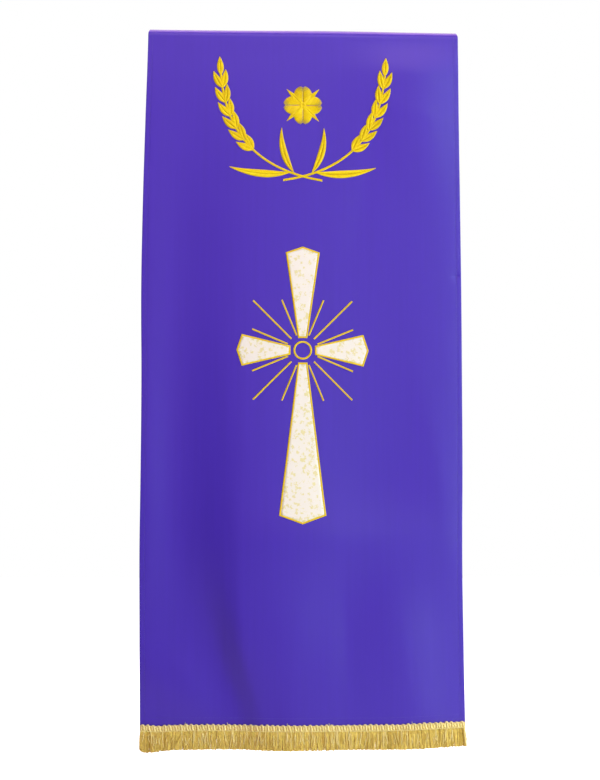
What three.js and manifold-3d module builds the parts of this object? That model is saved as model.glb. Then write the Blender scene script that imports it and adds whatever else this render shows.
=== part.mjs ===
// A fall for a lectern: one strip of violet satin that turns over the lectern's top edge.
// Its long front fall carries an embroidered wheat spray and an applique cross, and ends in a
// gold fringe. Its short back fall ends in a plain hem.
// Millimetres. X is to the viewer's right, Y points away from the viewer and Z is up.
// The origin is the middle of the edge that the cloth hangs from, on the cloth's inner face.
import * as THREE from "three";
import { mergeVertices } from "three/addons/utils/BufferGeometryUtils.js";
import Module from "manifold-3d";

const wasm = await Module();
wasm.setup();

// Driving sizes of the cloth
const CLOTH_WIDTH = 500;
const CLOTH_LENGTH = 1500;
const CLOTH_THICK = 1.4;
const TURN_RADIUS = 9; // inner radius, over a board 18 mm thick
const FRONT_LENGTH = 1072; // from the turn down to the front hem
const SIDE_HEM_WIDTH = 9;
const SIDE_HEM_EXTRA = 0.9; // the hem's folded layers, on the wrong side
const END_HEM_DEPTH = 22;
const HEM_STEP = 1.5; // the slope from the hem's layers to the single cloth

// Driving sizes of what is sewn on it
const SEWN_GAP = 0.3;
const PANEL_THICK = 0.9;
const STITCH_THICK = 1.3;
const HEADING_THICK = 2.2;
const HEADING_HEIGHT = 12;
const SCALLOP_COUNT = 60;
const SCALLOP_RISE = 1.7;
const LOCKS_PER_SCALLOP = 2;
const FRINGE_DROP = 27; // the locks, below the heading

// Values that follow from them
const HALF_WIDTH = CLOTH_WIDTH / 2;
const TURN_MIDDLE = TURN_RADIUS + CLOTH_THICK / 2;
const TURN_LENGTH = Math.PI * TURN_MIDDLE;
const BACK_LENGTH = CLOTH_LENGTH - FRONT_LENGTH - TURN_LENGTH;

// Grid of the cloth: columns between the side hems, closest where the main crest stands, and
// rows along its length
const CREST_ZONE = { from: -150, to: -40 };
const LEFT_COLUMNS = 4;
const CREST_COLUMNS = 8;
const RIGHT_COLUMNS = 14;
const FRONT_ROWS = 32;
const TURN_ROWS = 8;
const BACK_ROWS = 9;

const CURVE_STEPS = 6; // straight pieces that an arc of a sewn shape is cut into
const MERGE_DISTANCE = 1e-4;

const COLOURS = {
  satin: 0x50389e,
  gold: 0xe0ae1c,
  cream: 0xf3ecd8,
  fringe: 0xc9a752,
};

function material(colour, roughness, metalness) {
  return new THREE.MeshStandardMaterial({ color: colour, roughness, metalness });
}
const satin = material(COLOURS.satin, 0.5, 0);
const goldThread = material(COLOURS.gold, 0.45, 0.1);
const creamBrocade = material(COLOURS.cream, 0.6, 0);
const fringeYarn = material(COLOURS.fringe, 0.5, 0.1);

function smooth(from, to, value) {
  const t = Math.min(1, Math.max(0, (value - from) / (to - from)));
  return t * t * (3 - 2 * t);
}

// Soft folds of a fall. Each is a ridge that stands out of the flat cloth. Its nine values are
// at even steps from the turn down to the hem: where its crest lies, how far it spreads to its
// left and to its right, and how far it stands out.
const FRONT_FOLDS = [
  {
    name: "main crest",
    x: [-86, -88, -88, -87, -84, -84, -92, -88, -56],
    left: [62, 62, 62, 62, 62, 58, 44, 25, 21],
    right: [110, 110, 110, 110, 110, 110, 110, 110, 95],
    rise: [0, 2, 4.5, 6.5, 10.5, 14, 16.5, 17, 11],
  },
  {
    name: "middle pleat",
    x: [-4, -4, -4, -4, -4, -4, -4, -4, -4],
    left: [45, 45, 45, 45, 45, 45, 45, 45, 45],
    right: [48, 48, 48, 48, 48, 48, 48, 50, 100],
    rise: [0, 0, 0, 0, 0, 0, 0.5, 3.8, 8],
  },
  {
    name: "lower right flute",
    x: [143, 143, 143, 143, 143, 143, 143, 148, 165],
    left: [36, 36, 36, 36, 36, 36, 40, 60, 75],
    right: [46, 46, 46, 46, 46, 46, 46, 46, 45],
    rise: [0, 0, 0, 0, 0, 0, 1, 8.5, 9],
  },
  {
    name: "right edge",
    x: [175, 185, 210, 215, 215, 215, 215, 222, 225],
    left: [60, 60, 60, 60, 60, 60, 60, 60, 60],
    right: [52, 42, 34, 34, 34, 34, 34, 34, 34],
    rise: [5.5, 5, 2, 1.8, 2.2, 2.8, 3, 1.4, 1],
  },
  {
    name: "left edge",
    x: [-250, -250, -250, -250, -250, -250, -250, -250, -250],
    left: [40, 40, 40, 40, 40, 40, 40, 40, 40],
    right: [40, 36, 32, 30, 30, 30, 32, 34, 34],
    rise: [0, 2, 4, 5, 7, 8.5, 7, 2, 0],
  },
];
const BACK_FOLDS = [
  {
    name: "back left flute",
    x: [-95, -98, -101, -104, -107, -110, -113, -116, -120],
    left: [62, 62, 62, 62, 62, 62, 62, 62, 62],
    right: [62, 62, 62, 62, 62, 62, 62, 62, 62],
    rise: [0, 1, 2, 4, 5, 6, 7, 8, 8],
  },
  {
    name: "back right flute",
    x: [105, 103, 101, 99, 97, 95, 93, 91, 90],
    left: [74, 74, 74, 74, 74, 74, 74, 74, 74],
    right: [74, 74, 74, 74, 74, 74, 74, 74, 74],
    rise: [0, 0, 1, 2, 3, 5, 6, 6, 6],
  },
];
// Swellings of the front fall are short ridges at any angle, in degrees from the horizontal.
const SWELLINGS = [
  { name: "under the cross", x: 55, z: -796, angle: 0, halfLength: 95, halfWidth: 40, rise: 6 },
  { name: "lower left roll", x: -185, z: -1020, angle: -42, halfLength: 78, halfWidth: 28, rise: 4.6 },
];

// The folds die out over this length below the turn, where the edge holds the cloth straight.
const TURN_FADE = 60;

// A smooth curve through values that stand at even steps along length
function throughSteps(values, length, place) {
  const last = values.length - 1;
  const t = Math.min(last - 1e-9, Math.max(0, (place / length) * last));
  const step = Math.floor(t);
  const f = t - step;
  const at = (index) => values[Math.min(last, Math.max(0, index))];
  const start = (at(step + 1) - at(step - 1)) / 2;
  const end = (at(step + 2) - at(step)) / 2;
  const rise = at(step + 1) - at(step);
  return at(step) + start * f + (3 * rise - 2 * start - end) * f ** 2 + (start + end - 2 * rise) * f ** 3;
}

function bell(distance, halfWidth) {
  return Math.exp(-0.5 * (distance / halfWidth) ** 2);
}

function foldRise(folds, length, x, down) {
  let rise = 0;
  for (const fold of folds) {
    const aside = x - throughSteps(fold.x, length, down);
    const spread = throughSteps(aside < 0 ? fold.left : fold.right, length, down);
    rise += throughSteps(fold.rise, length, down) * bell(aside, spread);
  }
  return rise;
}

function swellingRise(x, z) {
  let rise = 0;
  for (const swelling of SWELLINGS) {
    const angle = (swelling.angle * Math.PI) / 180;
    const right = x - swelling.x;
    const up = z - swelling.z;
    const along = right * Math.cos(angle) + up * Math.sin(angle);
    const across = up * Math.cos(angle) - right * Math.sin(angle);
    rise += swelling.rise * bell(along, swelling.halfLength) * bell(across, swelling.halfWidth);
  }
  return rise;
}

// How far in from the flat width each side edge hangs, at even steps from the turn down to the
// hem. The folds draw it in all the way, and the turn draws in the top corners.
const DRAWN_IN = {
  left: [9.4, 6, 2.9, 1.4, 2.8, 2.6, 1.6, 2.5, 3.7],
  right: [7, 6.3, 4.7, 3.4, 2.9, 2.7, 3.8, 2.4, 0.4],
};

function drawnIn(across, down) {
  const side = across < 0 ? "left" : "right";
  const shift = throughSteps(DRAWN_IN[side], FRONT_LENGTH, down) * (across / HALF_WIDTH);
  return across - shift;
}

// The front hem lifts at its right corner.
const HEM_LIFT = { from: 120, to: HALF_WIDTH, rise: 3.1, over: 300 };

function hemLift(x, down) {
  const near = smooth(FRONT_LENGTH - HEM_LIFT.over, FRONT_LENGTH, down);
  return HEM_LIFT.rise * smooth(HEM_LIFT.from, HEM_LIFT.to, x) * near;
}

// A place on the middle of the cloth: across is -250 to 250, and along is counted from the
// front hem, up, over the turn and down the back. It gives the point and the outward
// direction in the YZ plane.
function clothPlace(across, along) {
  if (along <= FRONT_LENGTH) {
    const down = FRONT_LENGTH - along;
    const flatZ = -TURN_RADIUS - down;
    const x = drawnIn(across, down);
    const z = flatZ + hemLift(across, down);
    const rise = foldRise(FRONT_FOLDS, FRONT_LENGTH, x, down) + swellingRise(x, flatZ);
    return { x, y: -TURN_MIDDLE - rise * smooth(0, TURN_FADE, down), z, outY: -1, outZ: 0 };
  }
  const turned = along - FRONT_LENGTH;
  if (turned < TURN_LENGTH) {
    const angle = turned / TURN_MIDDLE;
    const outY = -Math.cos(angle);
    const outZ = Math.sin(angle);
    const x = drawnIn(across, 0);
    return { x, y: outY * TURN_MIDDLE, z: outZ * TURN_MIDDLE - TURN_RADIUS, outY, outZ };
  }
  const down = turned - TURN_LENGTH;
  const z = -TURN_RADIUS - down;
  const x = drawnIn(across, down);
  const rise = foldRise(BACK_FOLDS, BACK_LENGTH, x, down);
  return { x, y: TURN_MIDDLE + rise * smooth(0, TURN_FADE, down), z, outY: 1, outZ: 0 };
}

// How much thicker the cloth is on its wrong side at this place, for the folded hems
function hemExtra(across, along) {
  const fromSide = HALF_WIDTH - Math.abs(across);
  const fromEnd = Math.min(along, CLOTH_LENGTH - along);
  const inside = Math.min(fromSide - SIDE_HEM_WIDTH, fromEnd - END_HEM_DEPTH);
  return SIDE_HEM_EXTRA * (1 - smooth(-HEM_STEP / 2, HEM_STEP / 2, inside));
}

function evenSteps(from, to, count) {
  return Array.from({ length: count + 1 }, (_, i) => from + ((to - from) * i) / count);
}

const inner = HALF_WIDTH - SIDE_HEM_WIDTH - HEM_STEP / 2;
const columnPlaces = [
  -HALF_WIDTH,
  -inner - HEM_STEP,
  ...evenSteps(-inner, CREST_ZONE.from, LEFT_COLUMNS),
  ...evenSteps(CREST_ZONE.from, CREST_ZONE.to, CREST_COLUMNS).slice(1),
  ...evenSteps(CREST_ZONE.to, inner, RIGHT_COLUMNS).slice(1),
  inner + HEM_STEP,
  HALF_WIDTH,
];
const firstHem = END_HEM_DEPTH - HEM_STEP / 2;
const turnStart = FRONT_LENGTH;
const turnEnd = FRONT_LENGTH + TURN_LENGTH;
const frontRows = [0, firstHem, ...evenSteps(firstHem + HEM_STEP, turnStart, FRONT_ROWS)];
const rowPlaces = [
  ...frontRows,
  ...evenSteps(turnStart, turnEnd, TURN_ROWS).slice(1),
  ...evenSteps(turnEnd, CLOTH_LENGTH - firstHem - HEM_STEP, BACK_ROWS).slice(1),
  CLOTH_LENGTH - firstHem,
  CLOTH_LENGTH,
];

// A closed slab on a grid of places: pointAt gives its outer and its inner point there.
function slabGeometry(columns, rows, pointAt) {
  const positions = [];
  for (const layer of ["outer", "inner"]) {
    for (const along of rows) {
      for (const across of columns) positions.push(...pointAt(across, along)[layer]);
    }
  }
  const wide = columns.length;
  const layerSize = wide * rows.length;
  const faces = [];
  const quad = (a, b, c, d) => faces.push(a, b, c, a, c, d);
  for (let j = 0; j + 1 < rows.length; j++) {
    for (let i = 0; i + 1 < wide; i++) {
      const a = j * wide + i;
      quad(a, a + 1, a + wide + 1, a + wide);
      const b = layerSize + a;
      faces.push(b, b + wide + 1, b + 1, b, b + wide, b + wide + 1);
    }
  }
  for (let i = 0; i + 1 < wide; i++) {
    const top = (rows.length - 1) * wide + i;
    quad(i + 1, i, layerSize + i, layerSize + i + 1);
    quad(top, top + 1, layerSize + top + 1, layerSize + top);
  }
  for (let j = 0; j + 1 < rows.length; j++) {
    const left = j * wide;
    const right = left + wide - 1;
    quad(left, left + wide, layerSize + left + wide, layerSize + left);
    quad(right + wide, right, layerSize + right, layerSize + right + wide);
  }
  const geometry = new THREE.BufferGeometry();
  geometry.setAttribute("position", new THREE.Float32BufferAttribute(positions, 3));
  geometry.setIndex(faces);
  return geometry;
}

function clothPoints(across, along) {
  const { x, y, z, outY, outZ } = clothPlace(across, along);
  const out = CLOTH_THICK / 2;
  const back = CLOTH_THICK / 2 + hemExtra(across, along);
  return {
    outer: [x, y + outY * out, z + outZ * out],
    inner: [x, y - outY * back, z - outZ * back],
  };
}

// What is sewn on the front lies on the cloth's own facets. A skin is a slab between two
// distances in front of the cloth, over the rows and columns that a piece covers.
const BELOW_HEM = -8;
const SKIN_REACH = 42; // beyond the piece, to take in at least one column more

function skinGeometry(box, gap, thick) {
  const columns = columnPlaces.filter((x) => x > box.min.x - SKIN_REACH && x < box.max.x + SKIN_REACH);
  const rowReach = (2 * FRONT_LENGTH) / FRONT_ROWS;
  const lowest = FRONT_LENGTH + TURN_RADIUS + box.min.y - rowReach;
  const highest = FRONT_LENGTH + TURN_RADIUS + box.max.y + rowReach;
  const rows = [BELOW_HEM, ...frontRows].filter((row) => row > lowest && row < highest);
  return slabGeometry(columns, rows, (across, along) => {
    const { x, y, z } = clothPlace(across, Math.max(0, along));
    const face = y - CLOTH_THICK / 2 - gap;
    const drop = Math.min(0, along);
    return { outer: [x, face - thick, z + drop], inner: [x, face, z + drop] };
  });
}

function solidOf(geometry) {
  const bare = geometry.clone();
  bare.deleteAttribute("normal");
  bare.deleteAttribute("uv");
  const merged = mergeVertices(bare, MERGE_DISTANCE);
  return new wasm.Manifold(
    new wasm.Mesh({
      numProp: 3,
      vertProperties: new Float32Array(merged.attributes.position.array),
      triVerts: new Uint32Array(merged.index.array),
    }),
  );
}

function geometryOf(solid) {
  const mesh = solid.getMesh();
  const geometry = new THREE.BufferGeometry();
  geometry.setAttribute("position", new THREE.BufferAttribute(mesh.vertProperties, 3));
  geometry.setIndex(new THREE.BufferAttribute(mesh.triVerts, 1));
  return geometry;
}

// A prism of outlines drawn in X and Z, along Y through the whole front fall
const PRISM_FRONT = 60;

function prismOf(shapes) {
  const geometry = new THREE.ExtrudeGeometry(shapes[0], {
    depth: PRISM_FRONT,
    bevelEnabled: false,
    curveSegments: CURVE_STEPS,
  });
  let solid = solidOf(geometry.rotateX(Math.PI / 2));
  for (const shape of shapes.slice(1)) solid = solid.add(prismOf([shape]));
  return solid;
}

function boundsOf(shapes) {
  const points = shapes.flatMap((shape) => shape.getPoints(CURVE_STEPS));
  return new THREE.Box2().setFromPoints(points);
}

// A flat shape, or several that join, laid on the front of the cloth as one piece
function sewnPiece(shapes, thick, gap = SEWN_GAP) {
  const skin = solidOf(skinGeometry(boundsOf(shapes), gap, thick));
  return prismOf(shapes).intersect(skin);
}

function outline(points) {
  return new THREE.Shape(points.map(([x, z]) => new THREE.Vector2(x, z)));
}

function addMesh(group, name, geometry, finish) {
  const mesh = new THREE.Mesh(geometry, finish);
  mesh.name = name;
  group.add(mesh);
}

// Wheat spray: two ears that cross at their stems, with leaves, all one run of stitches
const SPRAY = {
  foot: new THREE.Vector2(30, -236),
  bend: new THREE.Vector2(-118, -214),
  tip: new THREE.Vector2(-128, -66),
  stemWidth: 3.6,
  grainsFrom: 0.46,
  grainPairs: 6,
  lastGrainAt: 0.98,
  grainLength: 30,
  grainWidth: 11,
  grainAngle: 0.5,
  grainCurl: 0.35,
};
const STEM_STEPS = 12;
const GRAIN_STEPS = 5;
const LEAF_STEPS = 7;
const WIDEST = 0.85; // below 1, an almond is widest before its middle
const LEAVES = [
  { name: "low leaf", x: -20, z: -224, heading: 3.3, length: 96, width: 12, curl: -0.5 },
  { name: "inner leaf", x: -14, z: -224, heading: 2.2, length: 74, width: 11, curl: -0.75 },
];

// An almond outline that starts at a point, runs along a heading and may curl to one side
function almond(x, z, heading, length, width, curl, steps) {
  const sides = [[], []];
  for (let i = 0; i <= steps; i++) {
    const t = i / steps;
    const turn = heading + curl * t;
    const middleTurn = heading + (curl * t) / 2;
    const cx = x + Math.cos(middleTurn) * length * t;
    const cz = z + Math.sin(middleTurn) * length * t;
    const half = (width / 2) * Math.sin(Math.PI * t ** WIDEST);
    sides[0].push([cx - Math.sin(turn) * half, cz + Math.cos(turn) * half]);
    sides[1].unshift([cx + Math.sin(turn) * half, cz - Math.cos(turn) * half]);
  }
  return outline([...sides[0], ...sides[1].slice(1, -1)]);
}

function ribbon(curve, width, steps) {
  const left = [];
  const right = [];
  for (let i = 0; i <= steps; i++) {
    const point = curve.getPoint(i / steps);
    const tangent = curve.getTangent(i / steps);
    left.push([point.x - (tangent.y * width) / 2, point.y + (tangent.x * width) / 2]);
    right.unshift([point.x + (tangent.y * width) / 2, point.y - (tangent.x * width) / 2]);
  }
  return outline([...left, ...right]);
}

function mirrored(shape) {
  return outline(
    shape
      .getPoints(CURVE_STEPS)
      .map((point) => [-point.x, point.y])
      .reverse(),
  );
}

function grain(point, heading, curl) {
  return almond(point.x, point.y, heading, SPRAY.grainLength, SPRAY.grainWidth, curl, GRAIN_STEPS);
}

function wheatShapes() {
  const stem = new THREE.QuadraticBezierCurve(SPRAY.foot, SPRAY.bend, SPRAY.tip);
  const shapes = [ribbon(stem, SPRAY.stemWidth, STEM_STEPS)];
  for (let pair = 0; pair < SPRAY.grainPairs; pair++) {
    const t = SPRAY.grainsFrom + ((1 - SPRAY.grainsFrom) * pair) / SPRAY.grainPairs;
    const point = stem.getPoint(t);
    const heading = stem.getTangent(t).angle();
    for (const side of [-1, 1]) {
      const angle = heading + side * SPRAY.grainAngle;
      shapes.push(grain(point, angle, -side * SPRAY.grainCurl));
    }
  }
  shapes.push(grain(stem.getPoint(SPRAY.lastGrainAt), stem.getTangent(1).angle(), 0));
  for (const leaf of LEAVES) {
    shapes.push(almond(leaf.x, leaf.z, leaf.heading, leaf.length, leaf.width, leaf.curl, LEAF_STEPS));
  }
  return [...shapes, ...shapes.map(mirrored)];
}

// Barbed quatrefoil above the spray: four lobes and four points
const QUATREFOIL = { z: -118, lobeOffset: 16, lobeRadius: 14.5, pointReach: 36, pointHalf: 9 };

function quatrefoilShapes() {
  const shapes = [];
  for (let quarter = 0; quarter < 4; quarter++) {
    const angle = (quarter * Math.PI) / 2;
    const lobe = new THREE.Shape();
    const x = Math.cos(angle) * QUATREFOIL.lobeOffset;
    const z = QUATREFOIL.z + Math.sin(angle) * QUATREFOIL.lobeOffset;
    lobe.absarc(x, z, QUATREFOIL.lobeRadius, 0, 2 * Math.PI, false);
    shapes.push(lobe);
    const out = angle + Math.PI / 4;
    const place = (reach, side) => [
      Math.cos(out) * reach - Math.sin(out) * side,
      QUATREFOIL.z + Math.sin(out) * reach + Math.cos(out) * side,
    ];
    const { pointHalf, pointReach } = QUATREFOIL;
    shapes.push(outline([place(0, pointHalf), place(0, -pointHalf), place(pointReach, 0)]));
  }
  return shapes;
}

// Cross: four flared arms of cream brocade, each inside a border of gold stitches, with a
// gold ring at the crossing and gold rays between the arms
const CROSS = { z: -501, armStart: 22, startHalf: 4.5, border: 2.8, ringRadius: 13, ringWidth: 3 };
const ARMS = [
  { name: "top", turn: Math.PI / 2, reach: 150, endHalf: 23, point: 8 },
  { name: "right", turn: 0, reach: 92, endHalf: 21, point: 7 },
  { name: "left", turn: Math.PI, reach: 92, endHalf: 21, point: 7 },
  { name: "foot", turn: -Math.PI / 2, reach: 252, endHalf: 33, point: 12 },
];
const RAY_WIDTH = 2.6;
const RAY_START = 25;
const SHORT_RAY = 84;
const LONG_RAY = 108;
const RAYS = [
  { name: "upper_steep", angle: 67.5, reach: SHORT_RAY },
  { name: "upper_middle", angle: 45, reach: LONG_RAY },
  { name: "upper_flat", angle: 22.5, reach: SHORT_RAY },
  { name: "lower_flat", angle: -22.5, reach: SHORT_RAY },
  { name: "lower_middle", angle: -45, reach: LONG_RAY },
  { name: "lower_steep", angle: -67.5, reach: SHORT_RAY },
];

// The outline of an arm, let out all round by grow
function armOutline(arm, grow) {
  const slope = (arm.endHalf - CROSS.startHalf) / (arm.reach - CROSS.armStart);
  const out = grow * Math.hypot(1, slope);
  const pointSlope = arm.point / arm.endHalf;
  const start = CROSS.armStart - grow;
  const startHalf = CROSS.startHalf - slope * grow + out;
  const tip = arm.reach + arm.point + grow * Math.hypot(1, pointSlope);
  // The end's slanting sides meet the long sides where both outlines agree.
  const sideAtCentre = CROSS.startHalf + out - slope * CROSS.armStart;
  const end = (tip - pointSlope * sideAtCentre) / (1 + pointSlope * slope);
  const endHalf = CROSS.startHalf + slope * (end - CROSS.armStart) + out;
  const points = [[start, startHalf], [start, -startHalf], [end, -endHalf], [tip, 0], [end, endHalf]];
  const cos = Math.cos(arm.turn);
  const sin = Math.sin(arm.turn);
  return points.map(([r, s]) => [r * cos - s * sin, CROSS.z + r * sin + s * cos]);
}

function borderShape(arm) {
  const shape = outline(armOutline(arm, SEWN_GAP + CROSS.border));
  shape.holes.push(outline(armOutline(arm, SEWN_GAP)));
  return shape;
}

function ringShape() {
  const shape = new THREE.Shape();
  shape.absarc(0, CROSS.z, CROSS.ringRadius + CROSS.ringWidth / 2, 0, 2 * Math.PI, false);
  const hole = new THREE.Path();
  hole.absarc(0, CROSS.z, CROSS.ringRadius - CROSS.ringWidth / 2, 0, 2 * Math.PI, true);
  shape.holes.push(hole);
  return shape;
}

function rayShape(ray, side) {
  const angle = (ray.angle * Math.PI) / 180;
  const cos = Math.cos(angle);
  const sin = Math.sin(angle);
  const place = (r, s) => [side * (r * cos - s * sin), CROSS.z + r * sin + s * cos];
  const half = RAY_WIDTH / 2;
  const ends = [[RAY_START, half], [RAY_START, -half], [ray.reach, -half], [ray.reach, half]];
  return outline(ends.map(([r, s]) => place(r, s)));
}

function addCross(group) {
  for (const arm of ARMS) {
    const panel = sewnPiece([outline(armOutline(arm, 0))], PANEL_THICK);
    addMesh(group, `cross_panel_${arm.name}`, geometryOf(panel), creamBrocade);
    const border = sewnPiece([borderShape(arm)], STITCH_THICK);
    addMesh(group, `cross_border_${arm.name}`, geometryOf(border), goldThread);
  }
  addMesh(group, "cross_ring", geometryOf(sewnPiece([ringShape()], STITCH_THICK)), goldThread);
  for (const ray of RAYS) {
    for (const [word, side] of [["right", 1], ["left", -1]]) {
      const strip = sewnPiece([rayShape(ray, side)], STITCH_THICK);
      addMesh(group, `cross_ray_${ray.name}_${word}`, geometryOf(strip), goldThread);
    }
  }
}

// Fringe: a scalloped braid heading sewn along the front hem, with its locks hanging from it
const HEADING_BELOW_HEM = 1.5;
const SCALLOP_STEPS = 3;
const LOCK = { width: 3, thick: 1.4, root: 5 }; // root is how far it reaches up in the heading
// A lock's shape: places down its length, how much of its sway it has there, and its width
const LOCK_RINGS = [
  { down: 0, sway: 0, splay: 0, wide: 0.5 },
  { down: 0.45, sway: 0.4, splay: 0.8, wide: 0.56 },
  { down: 1, sway: 1, splay: 1, wide: 0.46 },
];
const LOCK_SECTION = [[-1, 0.4], [0.2, -1], [1, 0.2], [0, 1]];
// The locks sway to the side together, in two slow waves along the hem.
const SWAYS = [
  { size: 1.6, over: 23, start: 0 },
  { size: 1.1, over: 9.5, start: 1 },
];
// Their lengths differ a little from lock to lock.
const LENGTH_WAVES = [
  { size: 0.9, turn: 2.4 },
  { size: 0.7, turn: 0.37 },
];
const LEFT_END = { longer: 3, from: 12, to: 34 };
const SPLAY = { size: 2.2, power: 9 }; // only the locks at the two ends spread outwards

function hemPlace(across) {
  return clothPlace(across, 0);
}

function headingShape() {
  const points = [];
  const edge = HALF_WIDTH - SEWN_GAP;
  const steps = SCALLOP_COUNT * SCALLOP_STEPS;
  for (let i = 0; i <= SCALLOP_COUNT; i++) {
    const hem = hemPlace(-edge + (2 * edge * i) / SCALLOP_COUNT);
    points.push([hem.x, hem.z - HEADING_BELOW_HEM]);
  }
  for (let i = steps; i >= 0; i--) {
    const hem = hemPlace(-edge + (2 * edge * i) / steps);
    const top = hem.z - HEADING_BELOW_HEM + HEADING_HEIGHT;
    points.push([hem.x, top - (i % SCALLOP_STEPS === 0 ? SCALLOP_RISE : 0)]);
  }
  return outline(points);
}

// A lock is a four-sided strand, wider at its middle, that sways a little to one side.
function lockSolid(across, index) {
  const hem = hemPlace(across);
  const sway = SWAYS.reduce((sum, wave) => sum + wave.size * Math.sin(across / wave.over + wave.start), 0);
  const uneven = LENGTH_WAVES.reduce((sum, wave) => sum + wave.size * Math.sin(index * wave.turn), 0);
  const atLeft = 1 - smooth(LEFT_END.from, LEFT_END.to, across + HALF_WIDTH);
  const drop = FRINGE_DROP + uneven + LEFT_END.longer * atLeft;
  const splay = SPLAY.size * (across / HALF_WIDTH) ** SPLAY.power;
  const y = hem.y - CLOTH_THICK / 2 - SEWN_GAP - HEADING_THICK / 2;
  const root = hem.z - HEADING_BELOW_HEM;
  const positions = [];
  for (const ring of LOCK_RINGS) {
    const middle = hem.x + sway * ring.sway + splay * ring.splay;
    const z = ring.down === 0 ? root + LOCK.root : root - drop * ring.down;
    for (const [sideways, forwards] of LOCK_SECTION) {
      const out = sideways * LOCK.width * ring.wide;
      positions.push(middle + out, y + (forwards * LOCK.thick) / 2, z);
    }
  }
  const corners = LOCK_SECTION.length;
  const last = corners * (LOCK_RINGS.length - 1);
  const faces = [0, 1, 2, 0, 2, 3, last, last + 2, last + 1, last, last + 3, last + 2];
  for (let ring = 0; ring + 1 < LOCK_RINGS.length; ring++) {
    for (let side = 0; side < corners; side++) {
      const a = ring * corners + side;
      const b = ring * corners + ((side + 1) % corners);
      faces.push(a, b + corners, b, a, a + corners, b + corners);
    }
  }
  const geometry = new THREE.BufferGeometry();
  geometry.setAttribute("position", new THREE.Float32BufferAttribute(positions, 3));
  geometry.setIndex(faces);
  return solidOf(geometry);
}

function fringeSolid() {
  let fringe = sewnPiece([headingShape()], HEADING_THICK);
  const locks = SCALLOP_COUNT * LOCKS_PER_SCALLOP;
  const span = CLOTH_WIDTH - LOCK.width - 2 * SEWN_GAP;
  for (let i = 0; i < locks; i++) {
    fringe = fringe.add(lockSolid(-span / 2 + (span * i) / (locks - 1), i));
  }
  return fringe;
}

const part = new THREE.Group();
addMesh(part, "cloth", slabGeometry(columnPlaces, rowPlaces, clothPoints), satin);
addMesh(part, "fringe", geometryOf(fringeSolid()), fringeYarn);
addMesh(part, "wheat_spray", geometryOf(sewnPiece(wheatShapes(), STITCH_THICK)), goldThread);
addMesh(part, "quatrefoil", geometryOf(sewnPiece(quatrefoilShapes(), STITCH_THICK)), goldThread);
addCross(part);

export default part;
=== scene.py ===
# %% [markdown]
# A lectern fall of violet satin: one strip of cloth turns over a top edge. Its long front fall has
# gold embroidery, an applique cross and a gold fringe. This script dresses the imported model, piece
# by piece, the way a maker would cut and sew it. Every cell first says what the piece is on the
# real object and why it is made this way in Blender.

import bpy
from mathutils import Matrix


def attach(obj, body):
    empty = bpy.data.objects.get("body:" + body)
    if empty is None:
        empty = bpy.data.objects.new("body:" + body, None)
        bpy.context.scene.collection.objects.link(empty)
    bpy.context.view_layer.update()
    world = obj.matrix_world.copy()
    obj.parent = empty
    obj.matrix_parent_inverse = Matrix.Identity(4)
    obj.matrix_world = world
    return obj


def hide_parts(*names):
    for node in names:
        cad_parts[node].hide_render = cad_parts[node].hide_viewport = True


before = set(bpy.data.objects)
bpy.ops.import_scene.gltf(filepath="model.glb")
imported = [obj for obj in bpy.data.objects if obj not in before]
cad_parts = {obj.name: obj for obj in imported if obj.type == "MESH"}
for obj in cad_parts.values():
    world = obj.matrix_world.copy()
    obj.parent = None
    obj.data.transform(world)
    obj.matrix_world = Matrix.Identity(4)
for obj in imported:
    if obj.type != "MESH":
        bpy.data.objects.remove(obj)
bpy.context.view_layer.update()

# %% Import what the script needs
import math

import bmesh
import bpy
import numpy as np
from mathutils import Vector

# %% [markdown]
# Sizes. A seamstress works in millimetres, so the tables below do too, and MM turns a finished
# point into Blender's metres. X is to the viewer's right, Y away from the viewer and Z up. The
# origin is the middle of the edge that the cloth hangs from.

# %% Sizes of the cloth
MM = 0.001
CLOTH_WIDTH = 500
CLOTH_LENGTH = 1500
TURN_RADIUS = 9
MODEL_THICK = 1.4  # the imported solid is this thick, and the sheet runs along its middle
SHEET_THICK = 0.4
FRONT_LENGTH = 1072
SIDE_HEM = 9
END_HEM = 22
HEM_FOLD_RADIUS = 0.45
HALF_WIDTH = CLOTH_WIDTH / 2
TURN_MIDDLE = TURN_RADIUS + MODEL_THICK / 2
TURN_LENGTH = math.pi * TURN_MIDDLE
BACK_LENGTH = CLOTH_LENGTH - FRONT_LENGTH - TURN_LENGTH

# %% [markdown]
# The folds. Real satin hangs in a few long soft folds, and its look is nearly all in them. A fold
# could be sculpted or simulated, but then the solid model and the sheet would differ. Here each
# fold is a row in a table: a ridge that stands towards the viewer, grows down the fall and may be
# steeper on one side. A sum of such ridges is smooth everywhere.

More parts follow.
